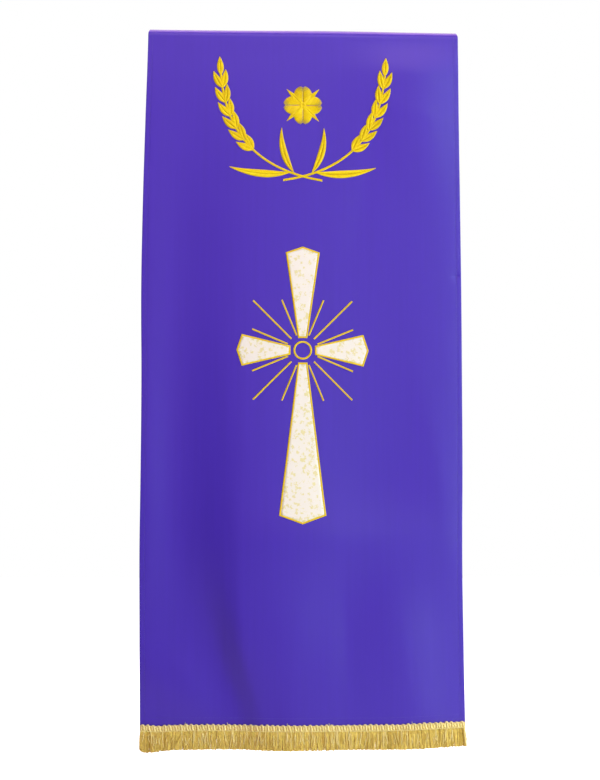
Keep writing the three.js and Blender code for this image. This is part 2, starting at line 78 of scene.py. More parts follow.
# %% Tables of folds, in the sizes that the solid has
# Each fold has nine values, at even steps from the turn down to the hem: where its crest lies,
# how far it spreads to its left and to its right, and how far it stands out.
FRONT_FOLDS = {
    "main crest": dict(
        x=[-86, -88, -88, -87, -84, -84, -92, -88, -56],
        left=[62, 62, 62, 62, 62, 58, 44, 25, 21],
        right=[110, 110, 110, 110, 110, 110, 110, 110, 95],
        rise=[0, 2, 4.5, 6.5, 10.5, 14, 16.5, 17, 11],
    ),
    "middle pleat": dict(
        x=[-4, -4, -4, -4, -4, -4, -4, -4, -4],
        left=[45, 45, 45, 45, 45, 45, 45, 45, 45],
        right=[48, 48, 48, 48, 48, 48, 48, 50, 100],
        rise=[0, 0, 0, 0, 0, 0, 0.5, 3.8, 8],
    ),
    "lower right flute": dict(
        x=[143, 143, 143, 143, 143, 143, 143, 148, 165],
        left=[36, 36, 36, 36, 36, 36, 40, 60, 75],
        right=[46, 46, 46, 46, 46, 46, 46, 46, 45],
        rise=[0, 0, 0, 0, 0, 0, 1, 8.5, 9],
    ),
    "right edge": dict(
        x=[175, 185, 210, 215, 215, 215, 215, 222, 225],
        left=[60, 60, 60, 60, 60, 60, 60, 60, 60],
        right=[52, 42, 34, 34, 34, 34, 34, 34, 34],
        rise=[5.5, 5, 2, 1.8, 2.2, 2.8, 3, 1.4, 1],
    ),
    "left edge": dict(
        x=[-250, -250, -250, -250, -250, -250, -250, -250, -250],
        left=[40, 40, 40, 40, 40, 40, 40, 40, 40],
        right=[40, 36, 32, 30, 30, 30, 32, 34, 34],
        rise=[0, 2, 4, 5, 7, 8.5, 7, 2, 0],
    ),
}
BACK_FOLDS = {
    "back left flute": dict(
        x=[-95, -98, -101, -104, -107, -110, -113, -116, -120],
        left=[62] * 9,
        right=[62] * 9,
        rise=[0, 1, 2, 4, 5, 6, 7, 8, 8],
    ),
    "back right flute": dict(
        x=[105, 103, 101, 99, 97, 95, 93, 91, 90],
        left=[74] * 9,
        right=[74] * 9,
        rise=[0, 0, 1, 2, 3, 5, 6, 6, 6],
    ),
}
# Ridges are short swellings that lie at any angle, counted from the horizontal.
RIDGES = [
    dict(name="under the cross", x=55, z=-796, angle=0, half_length=95, half_width=40, rise=6),
    dict(name="lower left roll", x=-185, z=-1020, angle=-42, half_length=78, half_width=28, rise=4.6),
]
TURN_FADE = 60  # how far below the turn the folds reach their full height
# How far each side edge is drawn in, at even steps from the turn to the hem
DRAWN_IN = {
    "left": [9.4, 6.0, 2.9, 1.4, 2.8, 2.6, 1.6, 2.5, 3.7],
    "right": [7.0, 6.3, 4.7, 3.4, 2.9, 2.7, 3.8, 2.4, 0.4],
}
HEM_LIFT = dict(start=120, end=HALF_WIDTH, rise=3.1, over=300)
CORNER_ROUND = dict(start=150, pull=2.4)  # each top corner is pulled in on the turn itself
TURN_LIFT = dict(x=55, half_width=95, rise=1.4)  # the turn isn't quite straight
print("front folds:", ", ".join(FRONT_FOLDS))


# %% Ways to add soft shapes up
def smooth(start, end, value):
    t = np.clip((value - start) / (end - start), 0, 1)
    return t * t * (3 - 2 * t)


def bell(distance, half_width):
    return np.exp(-0.5 * (distance / half_width) ** 2)


def fold_rise(folds, length, x, down):
    rise = np.zeros(np.broadcast(x, down).shape)
    for fold in folds.values():
        columns = (fold["x"], fold["left"], fold["right"], fold["rise"])
        crest, left, right, height = (through_steps(column, length, down) for column in columns)
        rise = rise + height * bell(x - crest, np.where(x < crest, left, right))
    return rise


def ridge_rise(ridges, x, z):
    rise = np.zeros(np.broadcast(x, z).shape)
    for ridge in ridges:
        turn = math.radians(ridge["angle"])
        right, up = x - ridge["x"], z - ridge["z"]
        along = right * math.cos(turn) + up * math.sin(turn)
        across = up * math.cos(turn) - right * math.sin(turn)
        rise = rise + ridge["rise"] * bell(along, ridge["half_length"]) * bell(across, ridge["half_width"])
    return rise


def through_steps(values, length, place):
    """A smooth curve through values that stand at even steps along length."""
    values = np.asarray(values, float)
    last = len(values) - 1
    t = np.clip(place / length * last, 0, last - 1e-9)
    step = t.astype(int)
    f = t - step
    before, here, after, beyond = (values[np.clip(step + k, 0, last)] for k in (-1, 0, 1, 2))
    start, end = (after - before) / 2, (beyond - here) / 2
    cubic = 2 * here - 2 * after + start + end
    square = 3 * after - 3 * here - 2 * start - end
    return cubic * f**3 + square * f**2 + start * f + here


# %% [markdown]
# Creases. A pressed cloth keeps a few faint marks of its folding and packing. They are too shallow
# for the solid, so only the sheet has them: each is a short soft ridge or trough.
# The first two deepen the valley at the lower left, and let it fade out just above the hem.

# %% Table of faint creases
CREASES = [
    dict(x=-122, z=-939, angle=-75, half_length=52, half_width=16, rise=-1.8),
    dict(x=-104, z=-1062, angle=-75, half_length=26, half_width=14, rise=0.9),
    dict(x=28, z=-812, angle=3, half_length=62, half_width=13, rise=-0.7),
    dict(x=42, z=-975, angle=89, half_length=70, half_width=13, rise=0.4),
    dict(x=68, z=-950, angle=94, half_length=50, half_width=7, rise=-0.3),
    dict(x=-196, z=-1010, angle=-62, half_length=48, half_width=9, rise=-0.6),
    dict(x=178, z=-128, angle=-18, half_length=42, half_width=7, rise=0.4),
    dict(x=-215, z=-150, angle=70, half_length=60, half_width=9, rise=0.35),
    dict(x=96, z=-262, angle=80, half_length=70, half_width=12, rise=-0.4),
    dict(x=200, z=-640, angle=100, half_length=90, half_width=14, rise=0.4),
    dict(x=-60, z=-300, angle=12, half_length=60, half_width=12, rise=0.3),
]
print("faint creases:", len(CREASES))


# %% Where any place of the cloth lies
def front_rise(x, z):
    down = -TURN_RADIUS - z
    folds = fold_rise(FRONT_FOLDS, FRONT_LENGTH, x, down)
    return (folds + ridge_rise(RIDGES + CREASES, x, z)) * smooth(0, TURN_FADE, down)


def edge_shift(across, down):
    left = through_steps(DRAWN_IN["left"], FRONT_LENGTH, down)
    right = through_steps(DRAWN_IN["right"], FRONT_LENGTH, down)
    return np.where(across < 0, left, -right) * np.abs(across) / HALF_WIDTH


def cloth_place(across, along):
    """Points on the middle of the cloth and their outward directions. along is counted from the
    front hem, up, over the turn and down the back."""
    across, along = np.broadcast_arrays(np.asarray(across, float), np.asarray(along, float))
    past_turn = np.maximum(0, along - FRONT_LENGTH - TURN_LENGTH)
    down = np.where(along <= FRONT_LENGTH, FRONT_LENGTH - along, past_turn)
    x = across + edge_shift(across, down)
    flat_z = -TURN_RADIUS - down
    lift = HEM_LIFT["rise"] * smooth(HEM_LIFT["start"], HEM_LIFT["end"], across)
    lift = lift * smooth(FRONT_LENGTH - HEM_LIFT["over"], FRONT_LENGTH, down)
    angle = np.clip((along - FRONT_LENGTH) / TURN_MIDDLE, 0, math.pi)
    out_y, out_z = -np.cos(angle), np.sin(angle)
    at_corner = smooth(CORNER_ROUND["start"], HALF_WIDTH, np.abs(across)) * out_z**2
    x = x - CORNER_ROUND["pull"] * np.sign(across) * at_corner
    front_y = -TURN_MIDDLE - front_rise(x, flat_z)
    back_rise = fold_rise(BACK_FOLDS, BACK_LENGTH, x, down) * smooth(0, TURN_FADE, down)
    on_front, on_back = along <= FRONT_LENGTH, along >= FRONT_LENGTH + TURN_LENGTH
    y = np.where(on_front, front_y, np.where(on_back, TURN_MIDDLE + back_rise, out_y * TURN_MIDDLE))
    lifted = TURN_LIFT["rise"] * bell(across - TURN_LIFT["x"], TURN_LIFT["half_width"]) * out_z**2
    on_turn = out_z * TURN_MIDDLE - TURN_RADIUS + lifted
    z = np.where(on_front, flat_z + lift, np.where(on_back, flat_z, on_turn))
    outward = np.stack([np.zeros_like(x), out_y, out_z], -1)
    return np.stack([x, y, z], -1), outward


def front_face(x, z):
    """Y of the cloth's front face at a place of the front fall, above its lifted hem."""
    return -TURN_MIDDLE - front_rise(x, z) - SHEET_THICK / 2


# %% [markdown]
# Camera. The photograph looks at the cloth nearly face on, from a little below its middle and a
# little to its left, so it narrows by three hundredths towards the top. The camera comes first, so
# that every later piece can be judged in the view that matters.

# %% Camera at the photograph's place
CAMERA_PLACE = Vector((-116.5, -2608.9, -714.8)) * MM
CAMERA_TURN = dict(right=2.488, up=3.363, roll=-0.075)  # degrees
CAMERA_LENS = 78

camera_data = bpy.data.cameras.new("camera")
camera_data.lens = CAMERA_LENS
camera = bpy.data.objects.new("camera", camera_data)
camera.location = CAMERA_PLACE
camera.rotation_euler = (
    math.radians(90 + CAMERA_TURN["up"]),
    math.radians(CAMERA_TURN["roll"]),
    math.radians(-CAMERA_TURN["right"]),
)
bpy.context.scene.collection.objects.link(camera)
bpy.context.scene.camera = camera
print("camera lens in millimetres:", CAMERA_LENS)

# %% [markdown]
# Making a mesh from arrays. The cloth, the stitches and the fringe hold many thousands of points,
# so each is worked out with numpy for all points at once, and handed to Blender in one piece.


# %% Helpers that make objects
def new_object(name, mesh, material, slot, *replaced):
    """A smooth piece of the cloth's one body, which takes the place of the nodes in replaced."""
    mesh.materials.append(material)
    mesh.polygons.foreach_set("use_smooth", np.ones(len(mesh.polygons), bool))
    made = bpy.data.objects.new(name, mesh)
    bpy.context.scene.collection.objects.link(made)
    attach(made, "root")
    for node in replaced:
        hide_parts(node)
    return made


def thicken(piece, thick):
    """Gives a sheet its thickness, half of it to each side."""
    modifier = piece.modifiers.new("thickness", "SOLIDIFY")
    modifier.thickness = thick * MM
    modifier.offset = 0
    return modifier


def grid_mesh(name, columns, rows, place):
    """A bmesh grid with a column for each of columns and a row for each of rows, moved to where
    place says. Its UV map holds the flat place in metres."""
    bm = bmesh.new()
    wide, high = len(columns) - 1, len(rows) - 1
    bmesh.ops.create_grid(bm, x_segments=wide, y_segments=high, size=1, calc_uvs=False)
    mesh = bpy.data.meshes.new(name)
    bm.to_mesh(mesh)
    bm.free()
    unit = np.empty(len(mesh.vertices) * 3)
    mesh.vertices.foreach_get("co", unit)
    unit = unit.reshape(-1, 3)
    across = np.asarray(columns, float)[np.rint((unit[:, 0] + 1) / 2 * wide).astype(int)]
    along = np.asarray(rows, float)[np.rint((unit[:, 1] + 1) / 2 * high).astype(int)]
    mesh.vertices.foreach_set("co", (place(across, along) * MM).ravel())
    corner_vertex = np.empty(len(mesh.loops), int)
    mesh.loops.foreach_get("vertex_index", corner_vertex)
    flat = np.stack([across, along], -1)[corner_vertex] * MM
    mesh.uv_layers.new(name="flat").data.foreach_set("uv", flat.ravel())
    mesh.update()
    return mesh


def even_places(start, end, step):
    return list(np.linspace(start, end, max(2, round(abs(end - start) / step) + 1)))


# %% [markdown]
# A thread is made once with bmesh operators: a closed prism with a few sides, cut into rings.
# Thousands of copies of its points are then bent along their own paths. That is how an array of
# stitches stays light: one thread has only a few dozen faces.


# %% Helpers that lay threads
LOBE_DEPTH = 0.17  # how deep the grooves of a twisted cord are, as a share of its radius
OUT = np.array([0.0, -1.0, 0.0])


def thread_pattern(steps, sides):
    bm = bmesh.new()
    bmesh.ops.create_cone(bm, cap_ends=True, segments=sides, radius1=1, radius2=1, depth=steps)
    for ring in range(1, steps):
        cut = bm.verts[:] + bm.edges[:] + bm.faces[:]
        bmesh.ops.bisect_plane(bm, geom=cut, plane_co=(0, 0, ring - steps / 2), plane_no=(0, 0, 1))
    bmesh.ops.recalc_face_normals(bm, faces=bm.faces[:])
    bm.verts.index_update()
    points = np.array([v.co[:] for v in bm.verts])
    faces = [[v.index for v in face.verts] for face in bm.faces]
    bm.free()
    return points, faces


def threads_mesh(name, centres, ups, half_widths, half_heights, sides, tones, twist=None, lobes=0):
    """One mesh of many threads. centres and ups are threads x rings x 3, in millimetres."""
    count, rings = centres.shape[:2]
    points, faces = thread_pattern(rings - 1, sides)
    if lobes:
        points[:, :2] *= (1 + LOBE_DEPTH * np.cos(lobes * np.arctan2(points[:, 1], points[:, 0])))[:, None]
    ring = np.rint(points[:, 2] + (rings - 1) / 2).astype(int)
    along = np.gradient(centres, axis=1)
    along /= np.linalg.norm(along, axis=2, keepdims=True)
    side = np.cross(ups, along)
    side /= np.linalg.norm(side, axis=2, keepdims=True)
    up = np.cross(along, side)
    right, high = (np.broadcast_to(points[:, k], (count, len(points))) for k in (0, 1))
    if twist is not None:
        turn = twist[:, ring]
        right, high = right * np.cos(turn) - high * np.sin(turn), right * np.sin(turn) + high * np.cos(turn)
    half_widths = np.broadcast_to(half_widths, (count, rings))[:, ring]
    half_heights = np.broadcast_to(half_heights, (count, rings))[:, ring]
    placed = centres[:, ring] + side[:, ring] * (right * half_widths)[..., None]
    placed = placed + up[:, ring] * (high * half_heights)[..., None]
    corners = np.concatenate([np.array(face) for face in faces])
    sizes = np.array([len(face) for face in faces])
    all_corners = (corners[None] + np.arange(count)[:, None] * len(points)).ravel()
    starts = np.concatenate([[0], np.cumsum(np.tile(sizes, count))[:-1]])
    mesh = bpy.data.meshes.new(name)
    mesh.vertices.add(count * len(points))
    mesh.vertices.foreach_set("co", (placed * MM).astype(np.float32).ravel())
    mesh.loops.add(len(all_corners))
    mesh.loops.foreach_set("vertex_index", all_corners.astype(np.int32))
    mesh.polygons.add(len(faces) * count)
    mesh.polygons.foreach_set("loop_start", starts.astype(np.int32))
    mesh.update(calc_edges=True)
    tone = mesh.attributes.new("tone", "FLOAT", "POINT")
    tone.data.foreach_set("value", np.repeat(tones, len(points)).astype(np.float32))
    return mesh


def front_threads(name, centres, half_width, half_height, sides, tones, **turning):
    """Threads of the front fall, whose upper side faces the viewer."""
    ups = np.broadcast_to(OUT, centres.shape)
    print(name, "threads:", len(centres))
    return threads_mesh(name, centres, ups, half_width, half_height, sides, tones, **turning)


# %% [markdown]
# Finishes. Each material is a short function of nodes. What is the same all over a surface is set
# on the shader's own socket. What varies, such as the dye's faint streaks or the weave, is
# worked out from the piece's own UV map, from its object coordinates or from its tone.


# %% Helpers for nodes
def start_material(name, colour, **sockets):
    material = bpy.data.materials.new(name)
    material.use_nodes = True
    shader = material.node_tree.nodes["Principled BSDF"]
    shader.inputs["Base Color"].default_value = (*colour, 1)
    for socket, value in sockets.items():
        shader.inputs[socket.replace("_", " ")].default_value = value
    return material, shader


def add_node(material, kind, inputs=None, **settings):
    node = material.node_tree.nodes.new(kind)
    for setting, value in settings.items():
        setattr(node, setting, value)
    for socket, value in (inputs or {}).items():
        if isinstance(value, bpy.types.NodeSocket):
            material.node_tree.links.new(value, node.inputs[socket])
        else:
            node.inputs[socket].default_value = value
    return node


def scaled_place(material, source, scale):
    """Coordinates of the piece, stretched by scale: its UV map in metres, or object coordinates."""
    place = add_node(material, "ShaderNodeTexCoord").outputs[source]
    return add_node(material, "ShaderNodeMapping", {"Vector": place, "Scale": scale}).outputs["Vector"]


def noise(material, source, scale, detail=3):
    """A cloudy value from 0 to 1 at each place of the piece."""
    place = scaled_place(material, source, scale)
    node = add_node(material, "ShaderNodeTexNoise", {"Vector": place, "Scale": 1, "Detail": detail})
    return node.outputs["Fac"]


def brick_weave(material, place, length, width, gap, offset):
    """Rows of bricks, each as long and wide as one float of the weave, with a soft gap between."""
    sizes = {"Brick Width": length, "Row Height": width, "Mortar Size": gap, "Mortar Smooth": 1, "Scale": 1}
    node = add_node(material, "ShaderNodeTexBrick", {"Vector": place, **sizes}, offset=offset)
    return node.outputs["Fac"]


def ramp(material, factor, *stops):
    node = add_node(material, "ShaderNodeValToRGB", {"Fac": factor})
    elements = node.color_ramp.elements
    while len(elements) < len(stops):
        elements.new(0.5)
    for element, (position, colour) in zip(elements, stops):
        element.position = position
        element.color = (*colour, 1)
    return node.outputs["Color"]


def mix_colour(material, blend, factor, first, second):
    node = add_node(material, "ShaderNodeMix", data_type="RGBA", blend_type=blend)
    for socket, value in ((0, factor), (6, first), (7, second)):
        if isinstance(value, bpy.types.NodeSocket):
            material.node_tree.links.new(value, node.inputs[socket])
        else:
            node.inputs[socket].default_value = value if socket == 0 else (*value, 1)
    return node.outputs[2]


def add_bump(material, shader, height, strength, distance, under=None):
    inputs = {"Height": height, "Strength": strength, "Distance": distance}
    if under is not None:
        inputs["Normal"] = under
    bump = add_node(material, "ShaderNodeBump", inputs)
    material.node_tree.links.new(bump.outputs["Normal"], shader.inputs["Normal"])
    return bump.outputs["Normal"]


# %% [markdown]
# Satin. Its right side is all long warp floats, so it is smooth, with a soft broad gloss and a
# weave too fine to see from a step away. Brick rows four times as long as they are wide stand
# for the floats. The wrong side shows the short crossings, so it is duller.

# %% Satin material
SATIN_VIOLET = (0.047, 0.0165, 0.375)
SATIN_WRONG_SIDE = (0.070, 0.036, 0.34)
# Sizes of the weave are in metres, as the shader reads them
FLOAT_LENGTH = 0.0022
FLOAT_WIDTH = 0.0005
FLOAT_GAP = 0.00009
STREAKS = (160, 5, 1)
SLUBS = (14, 9, 1)
GRAIN = (900, 260, 1)


def satin_material(name, colour, roughness, sheen):
    material, shader = start_material(
        name,
        colour,
        Roughness=roughness,
        Specular_IOR_Level=0.42,
        Sheen_Weight=sheen,
        Sheen_Roughness=0.35,
        Sheen_Tint=(0.55, 0.48, 1.0, 1),
    )
    streaks, slubs = noise(material, "UV", STREAKS, 4), noise(material, "UV", SLUBS)
    light, dark = tuple(min(1, c * 1.03) for c in colour), tuple(c * 0.97 for c in colour)
    streaked = ramp(material, streaks, (0.3, dark), (0.7, light))
    tinted = mix_colour(material, "MULTIPLY", slubs, streaked, (0.94, 0.94, 0.97))
    material.node_tree.links.new(tinted, shader.inputs["Base Color"])
    flat = scaled_place(material, "UV", (1, 1, 1))
    upright = add_node(material, "ShaderNodeMapping", {"Vector": flat, "Rotation": (0, 0, math.pi / 2)})
    floats = brick_weave(material, upright.outputs["Vector"], FLOAT_LENGTH, FLOAT_WIDTH, FLOAT_GAP, 0.4)
    weave = add_bump(material, shader, floats, 0.25, -0.00005)
    add_bump(material, shader, noise(material, "UV", GRAIN, 2), 0.25, 0.00008, weave)
    return material


satin = satin_material("satin", SATIN_VIOLET, 0.34, 0.05)
satin_wrong = satin_material("satin_wrong_side", SATIN_WRONG_SIDE, 0.7, 0.1)

# %% [markdown]
# The cloth is one sheet. A flat grid is laid on the folds, and its edges are turned to the wrong
# side like real hems: they go round a tight fold and lie flat behind. The grid is finer where it
# bends. A Solidify modifier gives it the thickness of satin. Its back takes the duller material.

# %% Places of the grid, counted from the middle of the cloth out to a raw edge
STITCH_LINE_SIDE = 7.4
STITCH_LINE_END = 19.5
ARC_STEPS = 5
GRID_STEP = dict(across=5.2, along=5.6, turn=2.4)
NICK = dict(z=-384, half_height=1.5, from_edge=6.5, half_width=4, depth=1.5)  # a pinch at the right edge
NICK_CLEAR = 5.5  # the even rows keep this far from the nick, which has rows of its own


def turned_edge(place, half):
    """Where a place of the flat cut lies once its edge is turned: (finished place, depth behind)."""
    radius = HEM_FOLD_RADIUS
    far = np.abs(place)
    past = far - (half - radius)
    angle = np.clip(past / radius, 0, math.pi)
    back = np.maximum(0, past - math.pi * radius)
    finished = np.where(past < 0, far, half - radius + radius * np.sin(angle) - back)
    return np.sign(place) * finished, radius * (1 - np.cos(angle))


def half_places(half, hem, stitch_line, step):
    """Places from the middle out to the raw edge, finer at the stitch line and round the fold."""
    radius = HEM_FOLD_RADIUS
    near = half - stitch_line
    flat = even_places(0, near - 4, step) + [near - 1.6, near - 0.8, near, near + 0.8, near + 1.6]
    flat += even_places(near + 3, half - radius - 0.6, step)
    arc = [half - radius + radius * math.pi * k / ARC_STEPS for k in range(ARC_STEPS + 1)]
    behind = [arc[-1] + d for d in even_places(1, hem - radius, step)]
    return flat + arc + behind


side_places = half_places(HALF_WIDTH, SIDE_HEM, STITCH_LINE_SIDE, GRID_STEP["across"])
cloth_columns = [-p for p in reversed(side_places[1:])] + side_places
end_places = half_places(CLOTH_LENGTH / 2, END_HEM, STITCH_LINE_END, GRID_STEP["along"])
low_rows = sorted(CLOTH_LENGTH / 2 - p for p in end_places if p > 0)
front_rows = even_places(max(low_rows) + GRID_STEP["along"], FRONT_LENGTH - 2, GRID_STEP["along"])
turn_rows = even_places(FRONT_LENGTH, FRONT_LENGTH + TURN_LENGTH, GRID_STEP["turn"])
turn_end = FRONT_LENGTH + TURN_LENGTH
high_rows = [CLOTH_LENGTH - row for row in reversed(low_rows) if CLOTH_LENGTH - row > turn_end + 3]
nick_row = FRONT_LENGTH + TURN_RADIUS + NICK["z"]
even_rows = [row for row in low_rows + front_rows + turn_rows + high_rows if abs(row - nick_row) > NICK_CLEAR]
cloth_rows = sorted(even_rows + [nick_row + 1.3 * k for k in range(-2, 3)])
print("cloth grid:", len(cloth_columns), "x", len(cloth_rows))

# %% The cloth, with its hems turned and stitched
HEM_PUCKERS = [dict(size=0.09, over=2.1, start=0.4), dict(size=0.06, over=0.83, start=2)]
PUCKER_HALF_WIDTH = 5
SEAM_DENT = dict(depth=0.07, half_width=0.9)
LAYER = 2 * HEM_FOLD_RADIUS  # from one layer of a hem to the next


def hem_pucker(finished_x, along):
    """The slight waves that the stitch lines draw into the side hems, and the dent at each line."""
    from_line = HALF_WIDTH - np.abs(finished_x) - STITCH_LINE_SIDE
    waves = sum(p["size"] * np.sin(along / p["over"] + p["start"] + np.sign(finished_x)) for p in HEM_PUCKERS)
    dent = SEAM_DENT["depth"] * bell(from_line, SEAM_DENT["half_width"])
    return waves * bell(from_line, PUCKER_HALF_WIDTH) - dent


def sheet_points(across, along):
    finished_x, side_depth = turned_edge(across, HALF_WIDTH)
    middle = CLOTH_LENGTH / 2
    finished_end, end_depth = turned_edge(along - middle, middle)
    points, outward = cloth_place(finished_x, finished_end + middle)
    in_side_hem = smooth(SIDE_HEM + 12, SIDE_HEM, HALF_WIDTH - np.abs(finished_x))
    behind = LAYER * (1 + 2 * in_side_hem)
    depth = side_depth + end_depth / LAYER * (behind - 2 * side_depth)
    dent = hem_pucker(finished_x, finished_end) * (side_depth < 0.01) * (end_depth < 0.01)
    from_nick = (HALF_WIDTH - NICK["from_edge"] - finished_x) / NICK["half_width"]
    dent = dent - NICK["depth"] * bell(from_nick, 1) * bell(along - nick_row, NICK["half_height"])
    return points + outward * (dent - depth)[:, None]


cloth_mesh = grid_mesh("satin_cloth", cloth_columns, cloth_rows, sheet_points)
cloth = new_object("satin_cloth", cloth_mesh, satin, "satin", "cloth")
cloth.data.materials.append(satin_wrong)
thicken(cloth, SHEET_THICK).material_offset = 1

# %% Hem stitches in violet thread, on both faces
SEAM_THREAD = (0.045, 0.018, 0.34)
STITCH_PITCH = 3.1
STITCH_GAP = 0.5
SEAM_RADIUS = 0.14
SEAM_MARGIN = 6  # from each end of the cloth to the side hems' first stitch
seam_thread, seam_shader = start_material("seam_thread", SEAM_THREAD, Roughness=0.5, Sheen_Weight=0.2)
add_bump(seam_thread, seam_shader, noise(seam_thread, "Object", (900, 900, 900), 2), 0.4, 0.0001)


def seam_stitches(starts, ends):
    """starts and ends are (across, along, depth) rows; each stitch arches a little between them."""
    t = np.array([0, 0.3, 0.7, 1.0])
    flat = starts[:, None] * (1 - t)[None, :, None] + ends[:, None] * t[None, :, None]
    arch = np.array([-0.12, 0.1, 0.1, -0.12])
    points, outward = cloth_place(flat[..., 0], flat[..., 1])
    points = points + outward * (arch[None] * np.sign(0.5 - flat[..., 2]) - flat[..., 2])[..., None]
    return points, outward


def seam_rows():
    """The start and end of each stitch: down both side hems and across both end hems, on each face."""
    rows = []
    side = HALF_WIDTH - STITCH_LINE_SIDE
    count = int((CLOTH_LENGTH - 2 * SEAM_MARGIN) / STITCH_PITCH)
    along = SEAM_MARGIN + np.arange(count) * STITCH_PITCH
    across = np.arange(-side + 2, side - 4, STITCH_PITCH)
    stitch = STITCH_PITCH - STITCH_GAP
    for depth in (-SHEET_THICK / 2, LAYER + SHEET_THICK / 2):
        for x in (-side, side):
            rows += [((x, place, depth), (x, place + stitch, depth)) for place in along]
        for row in (STITCH_LINE_END, CLOTH_LENGTH - STITCH_LINE_END):
            rows += [((place, row, depth), (place + stitch, row, depth)) for place in across]
    return np.array(rows)


rows = seam_rows()
seam_centres, seam_ups = seam_stitches(rows[:, 0], rows[:, 1])
seam_tones = np.full(len(rows), 0.5)
seam_mesh = threads_mesh("hem_stitches", seam_centres, seam_ups, SEAM_RADIUS, SEAM_RADIUS, 4, seam_tones)
hem_stitches = new_object("hem_stitches", seam_mesh, seam_thread, "satin")
print("hem stitches:", len(rows))

# %% [markdown]
# Gold embroidery. A machine fills a shape with satin stitch: threads of rayon laid side by side,
# each from one edge of the shape to the other, over a padding that makes it stand up. A bump
# pattern would look flat at the edges. Here each stitch is a thread of its own, which dips into
# the cloth at both ends, so the light runs along it as on the real thing.

# %% Gold thread
GOLD_DARK = (0.61, 0.4, 0.001)
GOLD_LIGHT = (0.89, 0.71, 0.001)
STITCH_STEP = 0.46
STITCH_HALF_WIDTH = 0.27
STITCH_HALF_HEIGHT = 0.2
SATIN_HEIGHT = 0.85
LEAST_HEIGHT = 0.45  # a short stitch has less padding, down to this share
FULL_HEIGHT_FROM = 2.4  # a stitch this long has all of it
TONE_SPREAD = 0.13


def thread_material(name, dark, light, roughness, sheen, grain, gloss=0.5, patches=None):
    """Yarn whose tone attribute says where each thread stands between dark and light."""
    settings = dict(Roughness=roughness, Specular_IOR_Level=gloss, Sheen_Weight=sheen, Sheen_Roughness=0.4)
    material, shader = start_material(name, light, **settings)
    tone = add_node(material, "ShaderNodeAttribute", attribute_name="tone").outputs["Fac"]
    base = ramp(material, tone, (0.0, dark), (1.0, light))
    # Partly the yarn's fibre grain and partly painted shade: the colour darkens to 0.86 where the fibre noise
    # is low, which is where the bump below sinks.
    fibres = noise(material, "Object", grain)
    fibre_grain_and_groove_shade = ramp(material, fibres, (0.3, (0.86, 0.86, 0.86)), (0.65, (1, 1, 1)))
    colour = mix_colour(material, "MULTIPLY", 1, base, fibre_grain_and_groove_shade)
    if patches:
        slow = noise(material, "Object", patches, 2)
        shades = ramp(material, slow, (0.35, (0.88, 0.85, 0.78)), (0.62, (1, 1, 1)))
        colour = mix_colour(material, "MULTIPLY", 1, colour, shades)
    material.node_tree.links.new(colour, shader.inputs["Base Color"])
    add_bump(material, shader, fibres, 0.3, 0.0001)
    return material


gold = thread_material("gold_thread", GOLD_DARK, GOLD_LIGHT, 0.38, 0.02, (1600, 1600, 1600), gloss=0.25)
rng = np.random.default_rng(11)


def stitches_mesh(name, starts, ends, lift, tone):
    """Satin stitches between places (x, z) of the front face."""
    starts, ends = np.asarray(starts, float), np.asarray(ends, float)
    t = np.array([0, 0.16, 0.5, 0.84, 1.0])
    arch = np.array([-0.3, 0.7, 1, 0.7, -0.3])
    places = starts[:, None] * (1 - t)[None, :, None] + ends[:, None] * t[None, :, None]
    length = np.linalg.norm(ends - starts, axis=1)
    padded = SATIN_HEIGHT * np.clip(length / FULL_HEIGHT_FROM, LEAST_HEIGHT, 1)
    over = padded[:, None] * arch + np.reshape(lift, (-1, 1)) * (arch > 0)
    y = front_face(places[..., 0], places[..., 1]) - over
    centres = np.stack([places[..., 0], y, places[..., 1]], -1)
    tones = np.clip(tone + rng.normal(0, TONE_SPREAD, len(starts)), 0, 1)
    return front_threads(name, centres, STITCH_HALF_WIDTH, STITCH_HALF_HEIGHT, 4, tones)


def turned(direction):
    """A direction turned a quarter to the left."""
    return np.stack([-direction[..., 1], direction[..., 0]], -1)


def stitch_count(length):
    return max(2, int(round(length / STITCH_STEP)))


# %% [markdown]
# Ways to fill a shape. A stem or a ray takes stitches straight across it. A leaf, a grain or
# a petal is parted along its middle, and each half slants towards the tip, which is called
# fishbone stitch. A border takes stitches across it that fan out round its corners.

# %% Fillings
SLANT = 0.55  # how far a fishbone stitch leans, as a share of the half width
WIDEST = 0.85  # the lower, the nearer its start a leaf is widest


def across_line(points, width, slant=0.6):
    """Stitches across a line of points, as wide as width."""
    points = np.asarray(points, float)
    steps = np.linalg.norm(np.diff(points, axis=0), axis=1)
    travel = np.concatenate([[0], np.cumsum(steps)])
    at = np.linspace(0, travel[-1], stitch_count(travel[-1]))
    middle = np.stack([np.interp(at, travel, points[:, k]) for k in (0, 1)], -1)
    direction = np.gradient(middle, axis=0)
    direction /= np.linalg.norm(direction, axis=1, keepdims=True)
    side = turned(direction) * width / 2
    lean = direction * slant
    return middle + side - lean, middle - side + lean


def fishbone(middle_at, half_width_at, length):
    """Both halves of a fishbone filling. middle_at gives the middle line and its direction."""
    t = np.linspace(0.02, 0.98, stitch_count(length))
    starts, ends = [], []
    for side in (-1, 1):
        half = half_width_at(t)
        edge_middle, direction = middle_at(t)
        edges = edge_middle + side * turned(direction) * half[:, None]
        back = np.clip(t - SLANT * half / length - 0.02, 0, 1)
        seam, seam_direction = middle_at(back)
        starts.append(seam - side * turned(seam_direction) * 0.1)
        ends.append(edges)
    return np.concatenate(starts), np.concatenate(ends)


def almond(place, heading, length, width, curl):
    """A leaf shape that starts at place, runs along heading and curls to one side."""

    def middle_at(t):
        aim = heading + curl * t / 2
        turn = heading + curl * t
        centre = np.stack([place[0] + np.cos(aim) * length * t, place[1] + np.sin(aim) * length * t], -1)
        return centre, np.stack([np.cos(turn), np.sin(turn)], -1)

    return fishbone(middle_at, lambda t: width / 2 * np.sin(math.pi * t**WIDEST), length)


